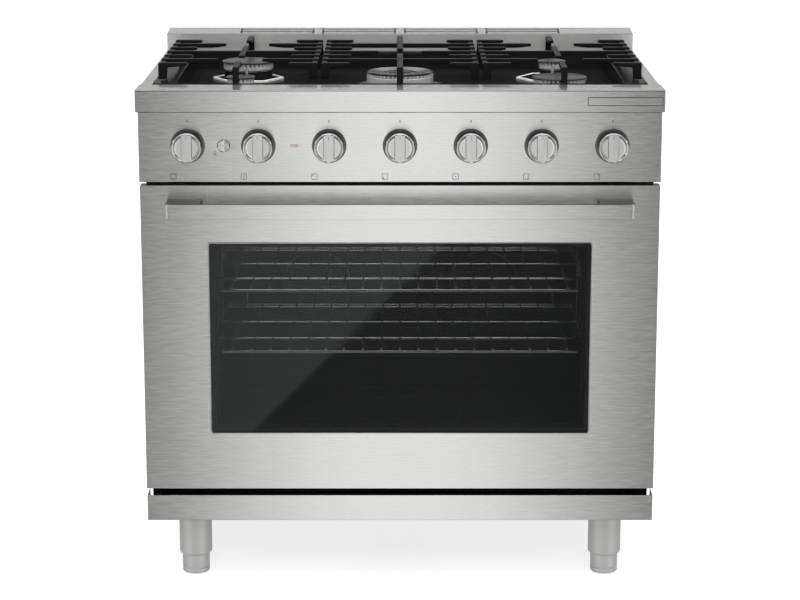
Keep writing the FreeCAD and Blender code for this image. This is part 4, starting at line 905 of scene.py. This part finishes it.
def make_oven():
    """Cavity with two round ribs in its floor, and what is in and around it."""
    refined("oven_liner", "oven_enamel", 1.2 * MM)
    bm = bmesh.new()
    for radius in RIB_RADII:
        lathe(bm, rounded([(radius - 4 * MM, -MM), (radius + 4 * MM, -MM), (radius + 2 * MM, 2 * MM, 2 * MM),
                           (radius - 2 * MM, 2 * MM, 2 * MM)]), (0, RIB_CENTRE_Y, OVEN_FLOOR), UP, 96)
    piece("oven_floor_ribs", bm, "body", "oven_enamel")
    make_fan_covers()
    kept("oven_rack_upper", "polished_stainless")
    kept("oven_rack_lower", "polished_stainless")
    kept("rack_guides", "polished_stainless")
    refined("oven_lamp", "lamp_glass", 0.5 * MM)
    kept("fan_left", "dark_steel_and_shade")
    kept("fan_right", "dark_steel_and_shade")
    refined("fan_motors", "galvanised_steel")
    kept("oven_burner", "galvanised_steel")
    refined("oven_insulation", "mineral_wool", 6 * MM)
    refined("door_gasket", "seal_rubber", 2 * MM, 3)
    refined("door_hinges", "polished_stainless")


HOLE_RADIUS = 2.4 * MM
HOLE_PITCH = 9
HOLE_ORBITS = (14, 24, 34, 44, 54)  # millimetres, like the pitch


def make_fan_covers():
    """Shallow cups with rings of small holes."""
    low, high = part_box("fan_covers")
    depth = high.y - low.y
    radius = (high.z - low.z) / 2
    z = (high.z + low.z) / 2
    for side, name in zip(SIDES, ("left", "right")):
        x = (high.x - radius) * side
        loops = [ring(x, z, radius - 2.5 * MM, 96)]
        for orbit in HOLE_ORBITS:
            count = round(math.tau * orbit / HOLE_PITCH)
            loops += [ring(p.x, p.y, HOLE_RADIUS, 10) for p in ring(x, z, orbit * MM, count)]
        bm = bmesh.new()
        slab(bm, loops, low.y, low.y + SHEET, "Y")
        lathe(bm, rounded([(radius - SHEET, 0), (radius, 0), (radius, depth, 3 * MM),
                           (radius - 3 * MM, depth), (radius - 3 * MM, depth - SHEET, WIDEST),
                           (radius - SHEET, depth - 3 * MM)]), (x, high.y, z), FORWARD, 96)
        piece(f"fan_cover_{name}", bm, "body", "oven_enamel", *(["fan_covers"] if side < 0 else []))


# Chassis

def make_chassis():
    refined("cooktop_frame", "brushed_stainless", 1.2 * MM, 3)
    refined("control_panel", "brushed_stainless", 1.1 * MM, 3)
    refined("kick_panel", "brushed_stainless", 1.2 * MM, 3)
    refined("side_panels", "side_stainless", 0.7 * MM)
    refined("back_panel", "galvanised_steel", 0.4 * MM)
    refined("base_pan", "galvanised_steel", 0.6 * MM)
    refined("power_inlet", "black_plastic", 0.8 * MM)
    kept("gas_pipework", "galvanised_steel")
    kept("gas_valves", "valve_brass")
    kept("igniters", "white_ceramic")
    kept("panel_screws", "polished_stainless")


def make_legs():
    """Turned sleeves under the base, each with an adjustable foot in it."""
    low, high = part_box("leg_sleeves")
    for name in ("front_left", "front_right", "rear_left", "rear_right"):
        foot_low, foot_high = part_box(f"foot_{name}")
        centre = Vector(((foot_low.x + foot_high.x) / 2, (foot_low.y + foot_high.y) / 2, 0))
        radius = (foot_high.x - foot_low.x) / 2
        groove = radius - 0.8 * MM
        outer = 29.5 * MM
        bore = 25.2 * MM
        stands_for = ["leg_sleeves"] if name == "front_left" else []
        bm = bmesh.new()
        lathe(bm, rounded([(bore, low.z, 0.6 * MM), (outer - 2 * MM, low.z, MM), (outer, low.z + 3 * MM, MM),
                           (outer, high.z - 5 * MM, MM), (outer - MM, high.z - 4 * MM, 0.4 * MM),
                           (outer - MM, high.z), (bore, high.z)]), centre, UP, 64)
        piece(f"leg_sleeve_{name}", bm, "body", "satin_steel", *stands_for)
        bm = bmesh.new()
        stud = 8 * MM
        lathe(bm, rounded([(0, 0), (radius - 2 * MM, 0, MM), (radius, 2.5 * MM, MM),
                           (radius, 9 * MM, 0.5 * MM), (groove, 10 * MM, 0.4 * MM),
                           (groove, 11 * MM, 0.4 * MM), (radius, 12 * MM, 0.5 * MM), (radius, 70 * MM, MM),
                           (stud, 70 * MM), (stud, foot_high.z, MM), (0, foot_high.z)], closed=False),
              centre, UP, 64)
        piece(f"foot_{name}_finished", bm, f"foot_{name}", "satin_steel", f"foot_{name}")


# Studio

FLOOR_RADIUS = 60
FLOOR_THICKNESS = 0.02


def make_studio():
    """Pale round floor, which the steel doesn't mirror."""
    bm = bmesh.new()
    slab(bm, [ring(0, 0, FLOOR_RADIUS, 64)], -FLOOR_THICKNESS, 0)
    mesh = bpy.data.meshes.new("studio_floor")
    bm.to_mesh(mesh)
    bm.free()
    mesh.materials.append(FINISHES["studio_floor"])
    floor = bpy.data.objects.new("studio_floor", mesh)
    bpy.context.scene.collection.objects.link(floor)
    floor.visible_glossy = False


# Radiance of the surroundings, as (component of the direction, level): across the front by X, and up
# the front and the back by Z
FRONT_GLOW = (
    (-0.5, 0.85), (-0.33, 0.65), (-0.24, 0.25), (-0.17, 0.08), (-0.115, 0.1), (-0.09, 0.36), (-0.07, 0.9),
    (-0.05, 1.3), (-0.025, 1.48), (0.025, 1.48), (0.05, 1.3), (0.07, 0.88), (0.09, 0.32), (0.115, 0.07),
    (0.17, 0.06), (0.24, 0.25), (0.33, 0.65), (0.5, 0.85))
FRONT_HEIGHTS = ((-1, 0.6), (-0.75, 0.6), (-0.5, 1), (0.15, 1), (0.27, 0.9), (0.42, 0.35), (1, 1.3))
BACK_HEIGHTS = (
    (-1, 0.3), (0, 0.5), (0.12, 0.14), (0.235, 0.14), (0.262, 2.4), (0.3, 2.5), (0.335, 0.5), (0.4, 0.28),
    (0.7, 0.4), (0.85, 1.2), (1, 1.3))


def make_surroundings():
    """World light: in front a bright panel between two dark ones, and behind a low bright band."""
    world = bpy.data.worlds.new("studio")
    bpy.context.scene.world = world
    world.use_nodes = True
    nodes, links = world.node_tree.nodes, world.node_tree.links
    place = nodes.new("ShaderNodeTexCoord")
    split = nodes.new("ShaderNodeSeparateXYZ")
    links.new(place.outputs["Generated"], split.inputs["Vector"])

    def levels(output, stops):
        """Radiance by one component of the direction, from (component, level) stops."""
        low, high = stops[0][0], stops[-1][0]
        scaled = nodes.new("ShaderNodeMapRange")
        scaled.inputs["From Min"].default_value = low
        scaled.inputs["From Max"].default_value = high
        links.new(split.outputs[output], scaled.inputs["Value"])
        ramp = nodes.new("ShaderNodeValToRGB")
        ramp.color_ramp.interpolation = "EASE"
        while len(ramp.color_ramp.elements) < len(stops):
            ramp.color_ramp.elements.new(0.5)
        for element, (place_on_axis, level) in zip(ramp.color_ramp.elements, stops):
            element.position = (place_on_axis - low) / (high - low)
            element.color = (level, level, level, 1)
        links.new(scaled.outputs["Result"], ramp.inputs["Fac"])
        return ramp.outputs["Color"]

    behind = nodes.new("ShaderNodeMapRange")
    behind.interpolation_type = "SMOOTHSTEP"
    behind.inputs["From Min"].default_value = -0.7
    behind.inputs["From Max"].default_value = 0.2
    links.new(split.outputs["Y"], behind.inputs["Value"])
    around = nodes.new("ShaderNodeMix")
    around.data_type = "RGBA"
    front = nodes.new("ShaderNodeMix")
    front.data_type = "RGBA"
    front.blend_type = "MULTIPLY"
    front.inputs["Factor"].default_value = 1
    links.new(levels("X", FRONT_GLOW), front.inputs["A"])
    links.new(levels("Z", FRONT_HEIGHTS), front.inputs["B"])
    links.new(behind.outputs["Result"], around.inputs["Factor"])
    links.new(front.outputs["Result"], around.inputs["A"])
    links.new(levels("Z", BACK_HEIGHTS), around.inputs["B"])
    links.new(around.outputs["Result"], nodes["Background"].inputs["Color"])


def softbox(name, place, target, width, height, power, turn=0):
    """A soft panel that lights without showing in reflections; turn rolls it about its own axis."""
    data = bpy.data.lights.new(name, "AREA")
    data.shape = "RECTANGLE"
    data.size = width
    data.size_y = height
    data.energy = power
    light = bpy.data.objects.new(name, data)
    light.location = place
    aim = (Vector(target) - Vector(place)).to_track_quat("-Z", "Y")
    light.rotation_euler = (aim @ Quaternion((0, 0, 1), turn)).to_euler()
    light.visible_camera = False
    light.visible_glossy = False
    bpy.context.scene.collection.objects.link(light)
    return light


def make_lights():
    """Two soft panels, a sun for the tops, a glow in the oven and a pale patch across the window."""
    softbox("front_softbox", (0.15, -5.2, 3.0), (0, 0, 0.6), 2.4, 1.6, 60)
    softbox("top_softbox", (0, 0.6, 4.2), (0, 0, 0.9), 4.5, 3.5, 60)
    sheen = softbox("window_sheen", (-0.211, -1, 0.576), (-0.211, 0, 0.576), 0.94, 0.34, 4.4,
                    turn=math.radians(45))
    sheen.data.spread = math.radians(1)
    only_glass = bpy.data.collections.new("window_sheen_receivers")
    only_glass.objects.link(bpy.data.objects["door_glass_finished"])
    sheen.light_linking.receiver_collection = only_glass
    glow = softbox("cavity_glow", (0, -0.2, 0.635), (0, 0.1, 0.3), 0.6, 0.05, 0.35)
    glow.visible_glossy = True
    sun = bpy.data.lights.new("sky_panel", "SUN")
    sun.energy = 1.9
    sun.angle = math.radians(70)
    light = bpy.data.objects.new("sky_panel", sun)
    light.rotation_euler = (math.radians(28), 0, math.radians(6))
    light.visible_glossy = False
    bpy.context.scene.collection.objects.link(light)


LENS = 110.2  # millimetres, like the sensor's width
SENSOR_WIDTH = 36
CAMERA_PLACE = (0, -4.478, 1.462)
CAMERA_TILT = 12.63  # degrees below the horizontal


def make_camera():
    data = bpy.data.cameras.new("camera")
    data.lens = LENS
    data.sensor_width = SENSOR_WIDTH
    data.clip_end = 200
    camera = bpy.data.objects.new("camera", data)
    camera.location = CAMERA_PLACE
    camera.rotation_euler = (math.radians(90 - CAMERA_TILT), 0, 0)
    bpy.context.scene.collection.objects.link(camera)
    bpy.context.scene.camera = camera
    bpy.context.scene.view_settings.view_transform = "Standard"


make_trim()
make_badge()
make_tray()
make_backguard()
for burner, radius in BURNERS.items():
    make_burner(burner, radius)
make_middle_burner()
make_grates()
make_marks()
make_bezels()
for number in KNOBS:
    make_knob(number)
make_button_and_lens()
make_door()
make_handle()
make_oven()
make_chassis()
make_legs()
make_studio()
make_surroundings()
make_lights()
make_camera()
